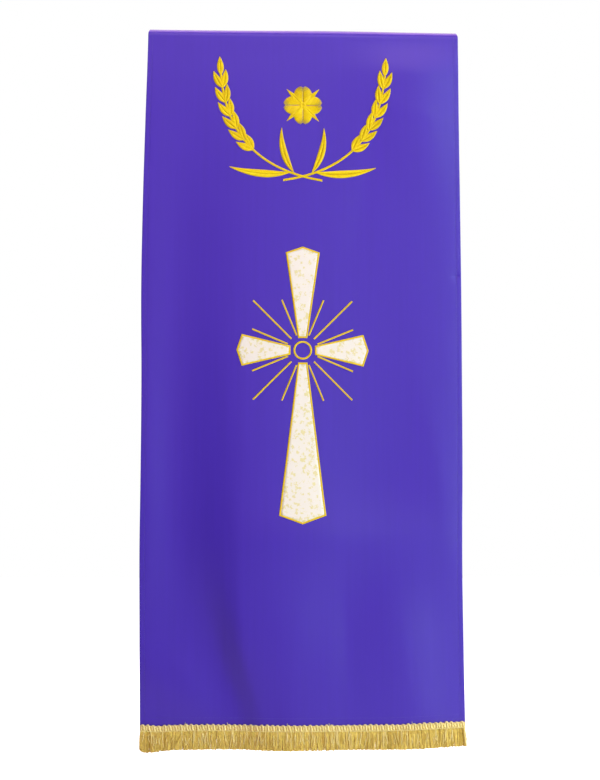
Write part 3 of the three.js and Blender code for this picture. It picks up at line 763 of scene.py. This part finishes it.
def between_outlines(inner, outer):
    """Stitches from an inner closed outline to an outer one with as many corners."""
    starts, ends = [], []
    corners = len(inner)
    for k in range(corners):
        a, b = k, (k + 1) % corners
        length = math.dist(outer[a], outer[b])
        t = (np.arange(stitch_count(length)) / stitch_count(length))[:, None]
        starts.append(inner[a] + (inner[b] - inner[a]) * t)
        ends.append(outer[a] + (outer[b] - outer[a]) * t)
    return np.concatenate(starts), np.concatenate(ends)


# %% [markdown]
# The wheat spray at the top of the fall, and the barbed quatrefoil over it: two crossed ears with
# their leaves, each a set of almond shapes along a bent stem.

# %% Wheat spray
STEM_FOOT, STEM_BEND, STEM_TIP = np.array([30, -236]), np.array([-118, -214]), np.array([-128, -66])
STEM_WIDTH = 3.6
GRAINS_FROM = 0.46
GRAIN_PAIRS = 6
GRAIN = dict(length=30, width=11)
GRAIN_ANGLE = 0.5
GRAIN_CURL = 0.35
LEAVES = [
    dict(place=(-20, -224), heading=3.3, length=96, width=12, curl=-0.5),
    dict(place=(-14, -224), heading=2.2, length=74, width=11, curl=-0.75),
]
CROSSING_LIFT = 0.2  # the right ear crosses over the left one


def stem_point(t):
    t = np.asarray(t, float)[..., None]
    return STEM_FOOT * (1 - t) ** 2 + STEM_BEND * 2 * t * (1 - t) + STEM_TIP * t**2


def stem_heading(t):
    direction = (STEM_BEND - STEM_FOOT) * (1 - t) + (STEM_TIP - STEM_BEND) * t
    return math.atan2(direction[1], direction[0])


def wheat_fillings():
    fillings = [across_line(stem_point(np.linspace(0, 1, 90)), STEM_WIDTH)]
    for leaf in LEAVES:
        fillings.append(almond(**leaf))
    for pair in range(GRAIN_PAIRS):
        t = GRAINS_FROM + (1 - GRAINS_FROM) * pair / GRAIN_PAIRS
        for side in (-1, 1):
            heading = stem_heading(t) + side * GRAIN_ANGLE
            fillings.append(almond(stem_point(t), heading, curl=-side * GRAIN_CURL, **GRAIN))
    fillings.append(almond(stem_point(0.98), stem_heading(1), curl=0, **GRAIN))
    return fillings


def lay_fillings(name, fillings, *replaced, lift=0):
    """One mesh of all stitches of these fillings, each filling a little over the one before."""
    starts = np.concatenate([filling[0] for filling in fillings])
    ends = np.concatenate([filling[1] for filling in fillings])
    sizes = [len(filling[0]) for filling in fillings]
    shade = np.repeat(0.62 + 0.1 * np.sin(np.arange(len(fillings)) * 2.1), sizes)
    over = np.repeat(np.arange(len(fillings)) % 3 * 0.12, sizes)
    mesh = stitches_mesh(name, starts, ends, over + lift, shade)
    return new_object(name, mesh, gold, "gold_thread", *replaced)


left_ear = wheat_fillings()
right_ear = [(starts * (-1, 1), ends * (-1, 1)) for starts, ends in left_ear]
lay_fillings("wheat_stitches_left", left_ear, "wheat_spray")
lay_fillings("wheat_stitches_right", right_ear, "wheat_spray", lift=CROSSING_LIFT)

# %% Barbed quatrefoil
QUATREFOIL = dict(z=-118, lobe_offset=16, lobe_radius=14.5, point_reach=36, point_half=9, point_from=17)
BOSS = dict(inner=1.2, outer=5.2, lift=0.5)
LOBE_TIP_HALF = 0.2


def spoke_filling(angle, start, reach, half_width_at):
    """A fishbone filling that runs straight out from the middle of the quatrefoil."""
    centre = np.array([0, QUATREFOIL["z"]])
    out = np.array([math.cos(angle), math.sin(angle)])
    span = reach - start

    def middle_at(t):
        return centre + out * (start + span * t)[:, None], np.broadcast_to(out, (len(t), 2))

    return fishbone(middle_at, lambda t: half_width_at(start + span * t), span)


def barb_half(run):
    return QUATREFOIL["point_half"] * (1 - run / QUATREFOIL["point_reach"])


def lobe_half(run):
    from_centre = run - QUATREFOIL["lobe_offset"]
    round_half = np.sqrt(np.maximum(LOBE_TIP_HALF**2, QUATREFOIL["lobe_radius"] ** 2 - from_centre**2))
    return np.minimum(round_half, run)


def quatrefoil_fillings():
    quarters = np.arange(4) * math.pi / 2
    start, reach = QUATREFOIL["point_from"], QUATREFOIL["point_reach"]
    lobe_reach = QUATREFOIL["lobe_offset"] + QUATREFOIL["lobe_radius"]
    barbs = [spoke_filling(angle + math.pi / 4, start, reach, barb_half) for angle in quarters]
    return barbs + [spoke_filling(angle, 0, lobe_reach, lobe_half) for angle in quarters]


def ring_filling(centre, inner, outer):
    turn = np.linspace(0, 2 * math.pi, stitch_count(math.pi * (inner + outer)), endpoint=False)
    spoke = np.stack([np.cos(turn), np.sin(turn)], -1)
    return np.asarray(centre) + spoke * inner, np.asarray(centre) + spoke * outer


lay_fillings("quatrefoil_stitches", quatrefoil_fillings(), "quatrefoil")
boss = [ring_filling((0, QUATREFOIL["z"]), BOSS["inner"], BOSS["outer"])]
lay_fillings("quatrefoil_boss", boss, lift=BOSS["lift"])

# %% [markdown]
# The cross. Four flared pieces of cream brocade are laid on the satin. A gold satin stitch all
# round each one covers its cut edge, and a ring and twelve rays of the same stitch stand between
# them. The brocade is a grid whose rows run out along the arm, so it can swell a little.

# %% Outline of an arm of the cross
CROSS_Z = -501
ARM_START = 22
ARM_START_HALF = 4.5
BORDER_GAP = 0.3
BORDER_WIDTH = 2.8
RING_RADIUS = 13
RING_WIDTH = 3
ARMS = {
    "top": dict(turn=math.pi / 2, reach=150, end_half=23, point=8),
    "right": dict(turn=0, reach=92, end_half=21, point=7),
    "left": dict(turn=math.pi, reach=92, end_half=21, point=7),
    "foot": dict(turn=-math.pi / 2, reach=252, end_half=33, point=12),
}
RAY_WIDTH = 2.6
RAY_START = 25
RAYS = {
    "steep": dict(degrees=67.5, reach=84),
    "middle": dict(degrees=45, reach=108),
    "flat": dict(degrees=22.5, reach=84),
}


def cross_place(arm, run, side):
    """The place (x, z) that lies run along an arm and side to its left."""
    cos, sin = math.cos(arm["turn"]), math.sin(arm["turn"])
    return np.stack([run * cos - side * sin, CROSS_Z + run * sin + side * cos], -1)


def arm_outline(arm, grow):
    """The five corners of an arm, let out all round by grow."""
    slope = (arm["end_half"] - ARM_START_HALF) / (arm["reach"] - ARM_START)
    out = grow * math.hypot(1, slope)
    point_slope = arm["point"] / arm["end_half"]
    start = ARM_START - grow
    start_half = ARM_START_HALF - slope * grow + out
    tip = arm["reach"] + arm["point"] + grow * math.hypot(1, point_slope)
    side_at_centre = ARM_START_HALF + out - slope * ARM_START
    end = (tip - point_slope * side_at_centre) / (1 + point_slope * slope)
    end_half = ARM_START_HALF + slope * (end - ARM_START) + out
    run = np.array([start, start, end, tip, end])
    side = np.array([start_half, -start_half, -end_half, 0, end_half])
    return cross_place(arm, run, side)


# %% Cream brocade
CREAM = (0.735, 0.69, 0.628)
CREAM_GOLD = (0.68, 0.61, 0.31)
PANEL_THICK = 0.35
PANEL_LIFT = 0.25  # from the satin's face to the middle of the brocade
PANEL_RISE = 0.12
PANEL_TUCK = 0.9  # how far it reaches under the stitches
QUILTING = 0.09
FLOWERS = (150, 150, 1)
VINES = (420, 420, 1)
FLECK_LIMIT = 0.24  # the higher, the fewer gold flecks
BROCADE_WEAVE = dict(length=0.0011, width=0.0005, gap=0.0001, offset=0.5)


def brocade_material():
    settings = dict(Roughness=0.5, Specular_IOR_Level=0.45, Sheen_Weight=0.2, Sheen_Roughness=0.4)
    material, shader = start_material("cream_brocade", CREAM, **settings)
    spots = {"Vector": scaled_place(material, "UV", FLOWERS), "Scale": 1, "Randomness": 0.75}
    flowers = add_node(material, "ShaderNodeTexVoronoi", spots, feature="SMOOTH_F1").outputs["Distance"]
    vines = noise(material, "UV", VINES)
    apart = add_node(material, "ShaderNodeMath", {0: flowers, 1: vines}, operation="SUBTRACT")
    patch = add_node(material, "ShaderNodeMath", {0: apart.outputs["Value"], 1: FLECK_LIMIT}, operation="ADD")
    flecks = ramp(material, patch.outputs["Value"], (0.0, (1, 1, 1)), (0.09, (0, 0, 0)))
    colour = mix_colour(material, "MIX", flecks, CREAM, CREAM_GOLD)
    material.node_tree.links.new(colour, shader.inputs["Base Color"])
    weave = brick_weave(material, scaled_place(material, "UV", (1, 1, 1)), **BROCADE_WEAVE)
    first = add_bump(material, shader, weave, 0.35, -0.0001)
    add_bump(material, shader, flecks, 0.4, 0.00025, first)
    return material


brocade = brocade_material()


def brocade_panel(word, arm):
    """Cream brocade over one arm: along runs from its narrow end to its tip."""
    slope = (arm["end_half"] - ARM_START_HALF) / (arm["reach"] - ARM_START)
    point_slope = arm["point"] / arm["end_half"]

    def place(across, along):
        edge = np.abs(across)
        tip = arm["reach"] + arm["point"] + PANEL_TUCK
        side_at_centre = ARM_START_HALF + PANEL_TUCK - slope * ARM_START
        far = (tip - point_slope * edge * side_at_centre) / (1 + point_slope * edge * slope)
        start = ARM_START - PANEL_TUCK
        run = start + (far - start) * along
        half = ARM_START_HALF + PANEL_TUCK + slope * (run - ARM_START)
        flat = cross_place(arm, run, across * half)
        inside = (1 - edge**4) * (1 - along**12) * (1 - (1 - along) ** 30)
        quilted = QUILTING * np.sin(run * 0.9 + across * 2) * np.sin(across * half * 0.7) * inside
        y = front_face(flat[:, 0], flat[:, 1]) - PANEL_LIFT - PANEL_RISE * inside - quilted
        return np.stack([flat[:, 0], y, flat[:, 1]], -1)

    length = arm["reach"] + arm["point"] - ARM_START
    mesh = grid_mesh(f"brocade_{word}", np.linspace(-1, 1, 17), np.linspace(0, 1, int(length / 3) + 2), place)
    corners = np.empty(len(mesh.loops), int)
    mesh.loops.foreach_get("vertex_index", corners)
    points = np.empty(len(mesh.vertices) * 3)
    mesh.vertices.foreach_get("co", points)
    points = points.reshape(-1, 3)[corners]
    mesh.uv_layers["flat"].data.foreach_set("uv", points[:, [0, 2]].astype(np.float32).ravel())
    panel = new_object(f"brocade_{word}", mesh, brocade, "cream_brocade", f"cross_panel_{word}")
    thicken(panel, PANEL_THICK)


for arm_name, arm in ARMS.items():
    brocade_panel(arm_name, arm)
    inner_line, outer_line = (arm_outline(arm, grow) for grow in (BORDER_GAP, BORDER_GAP + BORDER_WIDTH))
    border = [between_outlines(inner_line, outer_line)]
    lay_fillings(f"border_stitches_{arm_name}", border, f"cross_border_{arm_name}")

# %% Ring and rays
ring = ring_filling((0, CROSS_Z), RING_RADIUS - RING_WIDTH / 2, RING_RADIUS + RING_WIDTH / 2)
lay_fillings("ring_stitches", [ring], "cross_ring")


def ray_filling(degrees, reach, side):
    angle = math.radians(degrees)
    direction = np.array([side * math.cos(angle), math.sin(angle)])
    ends = np.array([0, CROSS_Z]) + direction * np.array([[RAY_START], [reach]])
    return across_line(np.linspace(ends[0], ends[1], 12), RAY_WIDTH, slant=0.25)


for word, ray in RAYS.items():
    for half, sign in (("upper", 1), ("lower", -1)):
        for side_word, side in (("right", 1), ("left", -1)):
            name = f"{half}_{word}_{side_word}"
            filling = ray_filling(sign * ray["degrees"], ray["reach"], side)
            lay_fillings(f"ray_stitches_{name}", [filling], f"cross_ray_{name}")

# %% [markdown]
# The fringe. It is a bought trim. Its heading is a scalloped braid: a fat gimp cord that loops up
# and over, a second one between its loops, and a chain of stitches at its foot. Under it hang
# some thousands of fine rayon threads, cut level, which gather into locks of their own accord.

# %% Fringe materials and places
FRINGE_DARK = (0.58, 0.37, 0.028)
FRINGE_LIGHT = (1.0, 0.8, 0.185)
GIMP_LIGHT = (0.93, 0.81, 0.35)
HEADING_FOOT = 0.3  # the chain line's height over the cloth's hem
HEADING_TOP = 10.5
SCALLOP_COUNT = 60
TRIM_EDGE = HALF_WIDTH - 0.4
TRIM_SAG = dict(x=-222, half_width=13, drop=1.7)  # the trim droops a little near its left end
SCALLOP = 2 * TRIM_EDGE / SCALLOP_COUNT
YARN_GRAIN = dict(grain=(1500, 1500, 120), patches=(420, 420, 170))
fringe_yarn = thread_material("fringe_yarn", FRINGE_DARK, FRINGE_LIGHT, 0.42, 0.08, **YARN_GRAIN)
gimp_yarn = thread_material("gimp_yarn", FRINGE_DARK, GIMP_LIGHT, 0.4, 0.2, (1300, 1300, 1300))


def trim_place(across, up, out):
    """A point of the trim: up from the cloth's hem, and out in front of the cloth's middle."""
    sag = TRIM_SAG["drop"] * bell(across - TRIM_SAG["x"], TRIM_SAG["half_width"])
    across, up, out = np.broadcast_arrays(across, up - sag, out)
    points, _ = cloth_place(across, np.maximum(0, up))
    return points + np.stack([np.zeros(up.shape), -out, np.minimum(0, up)], -1)


# %% Scalloped heading
GIMP_STEPS = 14
GIMP_TWIST = 3  # turns of the cord's twist in one loop
LOOP_LEAN = 0.09  # how far each loop's top leans to the left, in scallops
GIMPS = {
    "inner_gimp": dict(radius=1.1, low=0.8, high=8.8, out=1.9, phase=0.5, tone=0.7),
    "outer_gimp": dict(radius=1.45, low=0.6, high=HEADING_TOP, out=2.3, phase=0.0, tone=0.85),
}


def gimp_loops(name, radius, low, high, out, phase, tone):
    """Twisted cord in loops, one to each scallop, whose ends meet."""
    u = np.linspace(0, 1, GIMP_STEPS + 1)
    loop = np.arange(SCALLOP_COUNT)[:, None]
    rise = 0.5 - 0.5 * np.cos(2 * math.pi * u)
    lean = LOOP_LEAN + rng.normal(0, 0.05, (SCALLOP_COUNT, 1))
    swing = 0.09 * np.sin(4 * math.pi * u) + 0.05 * np.sin(2 * math.pi * u) - lean * rise
    across = -TRIM_EDGE + SCALLOP * (loop + u + swing + phase)
    across = np.clip(across, -TRIM_EDGE + radius * 0.6, TRIM_EDGE - radius * 0.6)
    uneven = 0.35 * np.sin(loop * 1.7) + 0.2 * np.sin(loop * 0.6 + 1) + rng.normal(0, 0.2, (SCALLOP_COUNT, 1))
    foot = rng.normal(0, 0.5, SCALLOP_COUNT + 1)
    low = low + foot[:-1, None] * (1 - u) + foot[1:, None] * u
    up = low + (high - radius - low + uneven) * rise[None]
    depth = out - 0.6 * np.sin(2 * math.pi * u) - 1.4 * (1 - rise) ** 2
    twist = np.broadcast_to(2 * math.pi * GIMP_TWIST * u, across.shape)
    tones = np.clip(tone + rng.normal(0, 0.05, SCALLOP_COUNT), 0, 1)
    centres = trim_place(across, up, depth)
    mesh = front_threads(name, centres, radius, radius, 12, tones, twist=twist, lobes=3)
    return new_object(name, mesh, gimp_yarn, "fringe_yarn", "fringe")


inner_gimp, outer_gimp = (gimp_loops(name, **row) for name, row in GIMPS.items())

# %% Foot and band of the heading
CHAIN = dict(pitch=1.7, length=2.5, from_end=0.8, slant=0.55, out=2.4, arch=0.35, radius=0.45, tone=0.7)
BAND = dict(low=-1.4, high=8.6, rows=4, out=1.15, rib=0.3, thick=0.7, tone=0.75)
RIBS_PER_SCALLOP = 4


def chain_line():
    """A row of slanting stitches along the foot of the heading."""
    count = int(2 * TRIM_EDGE / CHAIN["pitch"])
    spread = 2 * (TRIM_EDGE - CHAIN["from_end"])
    first = -TRIM_EDGE + CHAIN["from_end"] + np.arange(count) * spread / count
    t = np.linspace(0, 1, 5)
    up = HEADING_FOOT + CHAIN["slant"] * np.cos(math.pi * t)
    out = CHAIN["out"] + CHAIN["arch"] * np.sin(math.pi * t)
    centres = trim_place(first[:, None] + t * CHAIN["length"], up, out)
    tones = np.clip(CHAIN["tone"] + rng.normal(0, 0.06, count), 0, 1)
    mesh = front_threads("heading_chain", centres, CHAIN["radius"], CHAIN["radius"], 6, tones)
    return new_object("heading_chain", mesh, gimp_yarn, "fringe_yarn", "fringe")


def heading_band():
    """The band that the gimp is sewn to, with a rib for each of its warp threads."""
    columns = np.linspace(-TRIM_EDGE, TRIM_EDGE, SCALLOP_COUNT * 2 * RIBS_PER_SCALLOP + 1)
    order = {round(value, 4): index for index, value in enumerate(columns)}

    def place(across, up):
        rib = np.array([order[round(value, 4)] % 2 for value in across])
        return trim_place(across, up, BAND["out"] + BAND["rib"] * rib)

    mesh = grid_mesh("heading_band", columns, np.linspace(BAND["low"], BAND["high"], BAND["rows"]), place)
    made = new_object("heading_band", mesh, fringe_yarn, "fringe_yarn", "fringe")
    thicken(made, BAND["thick"])
    tone = made.data.attributes.new("tone", "FLOAT", "POINT")
    tone.data.foreach_set("value", np.full(len(made.data.vertices), BAND["tone"], np.float32))
    return made


chain = chain_line()
band = heading_band()

# %% [markdown]
# The hanging threads lie in two layers. The back one is even and fills the fringe, and its lower tone
# is painted shade behind the front one. The front one gathers into locks of uneven width, which lean,
# and draw their threads in towards their middle.

# %% Hanging threads
STRAND_RADIUS = 0.25
FRINGE_DROP = 27
ROOTS_UP = 0.9  # the threads' upper ends hide behind the chain
THREADS = {
    # painted shade: the back layer's tone is lower than the front layer's
    "back_threads": dict(count=3800, gather=0, tone=0.4, out=0.95, rings=(0, 0.4, 0.8, 0.98, 1)),
    "lock_threads": dict(count=4200, gather=1, tone=0.68, out=1.75, rings=(0, 0.3, 0.6, 0.85, 0.98, 1)),
}
LOCK_WIDTHS = (1.1, 3.8)
LOCK_LEAN = 1.8
LOCK_TONE = 0.17
SWAYS = [dict(size=1.6, over=23, start=0), dict(size=1.1, over=9.5, start=1)]
LEFT_END = dict(longer=3, start=12, end=34, lock=14.5, corner=7, cut=3.5)
END_SPLAY = dict(size=3.3, power=9)
SHADOW = dict(tone=0.4, left_width=2.2, right_width=2.4, from_right=6)  # the gaps beside the end locks


def lock_edges():
    """Where one lock of threads ends and the next begins. The left end hangs as one wide lock."""
    edges = [-TRIM_EDGE, -TRIM_EDGE + LEFT_END["lock"]]
    while edges[-1] < TRIM_EDGE:
        edges.append(edges[-1] + rng.uniform(*LOCK_WIDTHS))
    edges[-1] = TRIM_EDGE
    return np.array(edges)


def hanging_threads(name, count, gather, tone, out, rings):
    """Threads that hang from the heading. gather is how much they draw together into locks, and
    rings are places down a thread, of which the last two keep its end crisp."""
    edges = lock_edges()
    locks = len(edges) - 1
    middles = (edges[1:] + edges[:-1]) / 2
    lean, lock_tone = rng.normal(0, LOCK_LEAN, locks) * gather, rng.normal(0, LOCK_TONE, locks)
    lean[:2], lean[-2:], lock_tone[:2] = (-0.8 * gather, 0.5 * gather), 0.9 * gather, (-0.1, -0.2)
    pulls, lock_out = rng.uniform(0.05, 0.45, locks) * gather, rng.normal(0, 0.35, locks) * gather
    spacing = (2 * TRIM_EDGE - 0.6) / count
    root = -TRIM_EDGE + 0.3 + (np.arange(count) + rng.uniform(0, 1, count)) * spacing
    lock = np.clip(np.searchsorted(edges, root) - 1, 0, locks - 1)
    t = np.array(rings)[None]
    sway = sum(wave["size"] * np.sin(root / wave["over"] + wave["start"]) for wave in SWAYS)
    stray = rng.normal(0, 0.4, count) + (rng.random(count) < 0.04) * rng.normal(0, 2.5, count)
    splay = END_SPLAY["size"] * (root / HALF_WIDTH) ** END_SPLAY["power"]
    bow = rng.normal(0, 0.3, count)
    drawn_in = (middles[lock] - root) * pulls[lock]
    aside = (sway + lean[lock])[:, None] * t**1.3 + drawn_in[:, None] * t**1.5
    aside = aside + stray[:, None] * t**1.6 + splay[:, None] * t * (1.7 - t)
    aside = aside + bow[:, None] * np.sin(math.pi * t)
    at_left = smooth(LEFT_END["end"], LEFT_END["start"], root + HALF_WIDTH)
    corner = smooth(LEFT_END["corner"], 0, root + HALF_WIDTH)
    drop = FRINGE_DROP + LEFT_END["longer"] * at_left - LEFT_END["cut"] * corner**2
    drop = drop + 0.5 * np.sin(root / 31 + 2)
    drop = drop + rng.normal(0, 0.25, locks)[lock] * gather + rng.normal(0, 0.35, count) + 0.6 * (gather - 1)
    layer = rng.uniform(0, 1, count)
    top = HEADING_FOOT + ROOTS_UP
    up = top - (drop + top + 1.3)[:, None] * t
    centres = trim_place(root[:, None], up, out + 0.8 * layer[:, None] + lock_out[lock][:, None] * t)
    centres[..., 0] += aside
    at_gaps = bell(root - edges[1], SHADOW["left_width"])
    at_gaps = at_gaps + bell(root - TRIM_EDGE + SHADOW["from_right"], SHADOW["right_width"])
    # Painted shade: a thread further forward in its layer gets a lighter tone, and the rest of uneven differs
    # at random. SHADOW paints a shadow on the threads in the gaps beside the end locks.
    uneven = 0.12 * (layer - 0.5) + rng.normal(0, 0.2, count)
    tones = np.clip(tone + lock_tone[lock] + uneven - SHADOW["tone"] * at_gaps, 0, 1)
    mesh = front_threads(name, centres, STRAND_RADIUS, STRAND_RADIUS, 3, tones)
    return new_object(name, mesh, fringe_yarn, "fringe_yarn", "fringe")


back_threads, lock_threads = (hanging_threads(name, **row) for name, row in THREADS.items())

# %% Loose strands and stray ends
LOOSE_STRANDS = 190
STRAND_THREADS = 4
STRAND_OUT = 2.1
LOOSE_RADIUS = 0.22
STRAY_ENDS = {-181: 0.9, -115: -0.6, -24: 0.7, 41: -0.9, 167: 0.5}  # place across the cloth: lean


def loose_strands(name):
    """Small bundles that lie over the rest at a slant. Some come out from between the loops. The
    first two hang straight at the right end."""
    first = rng.uniform(-TRIM_EDGE + 6, TRIM_EDGE - 8, LOOSE_STRANDS)
    first[:2] = TRIM_EDGE - 1.2, TRIM_EDGE - 0.6
    lean, bow = rng.normal(0, 2.6, LOOSE_STRANDS), rng.normal(0, 0.9, LOOSE_STRANDS)
    top, foot = rng.uniform(-12, 5.5, LOOSE_STRANDS), -FRINGE_DROP + rng.uniform(0, 12, LOOSE_STRANDS)
    pale = rng.random(LOOSE_STRANDS) < 0.65
    light, dark = rng.uniform(0.45, 0.8, LOOSE_STRANDS), rng.uniform(0, 0.2, LOOSE_STRANDS)
    bright = np.where(pale, light, dark)
    lean[:2], bow[:2], top[:2], foot[:2], bright[:2] = 1.5, 0, 1, 1 - FRINGE_DROP, 0.8
    strand = np.repeat(np.arange(LOOSE_STRANDS), STRAND_THREADS)
    beside = np.tile(np.linspace(-0.5, 0.5, STRAND_THREADS), LOOSE_STRANDS)[:, None]
    t = np.linspace(0, 1, 7)[None]
    spread = beside * rng.uniform(0.5, 1.1, LOOSE_STRANDS)[strand][:, None]
    up = top[strand][:, None] * (1 - t) + foot[strand][:, None] * t
    up = up + rng.normal(0, 0.3, len(strand))[:, None] * t
    centres = trim_place(first[strand][:, None] + spread, up, STRAND_OUT + 1.1 * np.sin(math.pi * t) ** 0.5)
    centres[..., 0] += lean[strand][:, None] * t**1.2 + bow[strand][:, None] * np.sin(math.pi * t)
    tones = np.clip(bright[strand] + rng.normal(0, 0.06, len(strand)), 0, 1)
    mesh = front_threads(name, centres, LOOSE_RADIUS, LOOSE_RADIUS, 4, tones)
    return new_object(name, mesh, gimp_yarn, "fringe_yarn", "fringe")


def stray_ends(name):
    """A few loose ends of yarn that stand out over the heading."""
    t = np.linspace(0, 1, 4)[None]
    root, lean = np.array(list(STRAY_ENDS.items()), float).T[..., None]
    centres = trim_place(root + lean * t**1.5, HEADING_TOP - 2.5 + 4.6 * t, 2.6 - 1.2 * t)
    mesh = front_threads(name, centres, 0.3, 0.25, 6, np.full(len(root), 0.9))
    return new_object(name, mesh, gimp_yarn, "fringe_yarn", "fringe")


loose_threads = loose_strands("loose_strands")
ends = stray_ends("stray_ends")

# %% [markdown]
# The sheet was cut 518 by 1544 mm: the finished strip, with the hems turned.

# %% [markdown]
# The studio. A pale floor, a pale surround and soft lights. The key lamp stands at the right and
# rakes across the folds, and a tall one in front of it gives the satin its gloss. Weak ones fill
# in from the front and from above. One overhead lights the rim where the cloth turns, and one
# behind shows the back fall.

# %% Floor
FLOOR_HEIGHT = -1.32
FLOOR_LIFT = 1.0  # how bright the floor looks to the camera alone
floor_bm = bmesh.new()
bmesh.ops.create_grid(floor_bm, x_segments=1, y_segments=1, size=9)
bmesh.ops.translate(floor_bm, verts=floor_bm.verts[:], vec=(0, 0, FLOOR_HEIGHT))
floor_mesh = bpy.data.meshes.new("floor")
floor_bm.to_mesh(floor_mesh)
floor_bm.free()
PAINT = dict(colour=(0.93, 0.93, 0.93), Roughness=0.9, Specular_IOR_Level=0.1)
floor_paint, floor_shader = start_material("floor_paint", **PAINT)
floor_shader.inputs["Emission Color"].default_value = (1, 1, 1, 1)
seen = add_node(floor_paint, "ShaderNodeLightPath").outputs["Is Camera Ray"]
lifted = add_node(floor_paint, "ShaderNodeMath", {0: seen, 1: FLOOR_LIFT}, operation="MULTIPLY")
floor_paint.node_tree.links.new(lifted.outputs["Value"], floor_shader.inputs["Emission Strength"])
floor_mesh.materials.append(floor_paint)
floor = bpy.data.objects.new("floor", floor_mesh)
bpy.context.scene.collection.objects.link(floor)
print("floor height in metres:", FLOOR_HEIGHT)

# %% Lights
CLOTH_MIDDLE = (0, 0, -0.6)
LIGHTS = {
    "key": dict(place=(2.6, -1.5, -0.8), aim=CLOTH_MIDDLE, size=(0.9, 1.1), power=66.5, colour=(0.84, 1, 0.94)),
    "gloss": dict(place=(1.5, -2.6, 0.1), aim=CLOTH_MIDDLE, size=(0.5, 2.2), power=29, colour=(0.74, 1, 0.8)),
    "front": dict(place=(0, -3.6, 0.2), aim=CLOTH_MIDDLE, size=(1.5, 1.5), power=9, colour=(1, 0.5, 0.8)),
    "top": dict(place=(-0.1, -1.2, 0.8), aim=(0, 0, -0.3), size=(1.6, 0.7), power=13, colour=(1, 0.7, 0.9)),
    "back": dict(place=(0.7, 3.4, 0.2), aim=(0, 0, -0.5), size=(1.5, 1.5), power=30, colour=(1, 1, 1)),
    "rim": dict(place=(0.1, 0.35, 1.6), aim=(0.1, 0.35, 0), size=(2.4, 1.7), power=72, colour=(1, 0.64, 0.7)),
}


def add_light(name, place, aim, size, power, colour):
    light = bpy.data.lights.new(name, "AREA")
    light.shape = "RECTANGLE"
    light.size, light.size_y = size
    light.energy = power
    light.color = colour
    lamp = bpy.data.objects.new(name, light)
    lamp.location = place
    lamp.rotation_euler = (Vector(aim) - Vector(place)).to_track_quat("-Z", "Y").to_euler()
    bpy.context.scene.collection.objects.link(lamp)


for light_name, light_row in LIGHTS.items():
    add_light(light_name, **light_row)
print("lamps:", ", ".join(LIGHTS))

# %% Surround
SURROUND_LIGHT = 0.12  # what it sheds on the cloth; the camera sees plain white
world = bpy.data.worlds.new("surround")
bpy.context.scene.world = world
world.use_nodes = True
background = world.node_tree.nodes["Background"]
path = world.node_tree.nodes.new("ShaderNodeLightPath")
strength = world.node_tree.nodes.new("ShaderNodeMapRange")
strength.inputs["To Min"].default_value = SURROUND_LIGHT
strength.inputs["To Max"].default_value = 1.0
world.node_tree.links.new(path.outputs["Is Camera Ray"], strength.inputs["Value"])
world.node_tree.links.new(strength.outputs["Result"], background.inputs["Strength"])
background.inputs["Color"].default_value = (1, 1, 1, 1)
bpy.context.scene.view_settings.view_transform = "Standard"
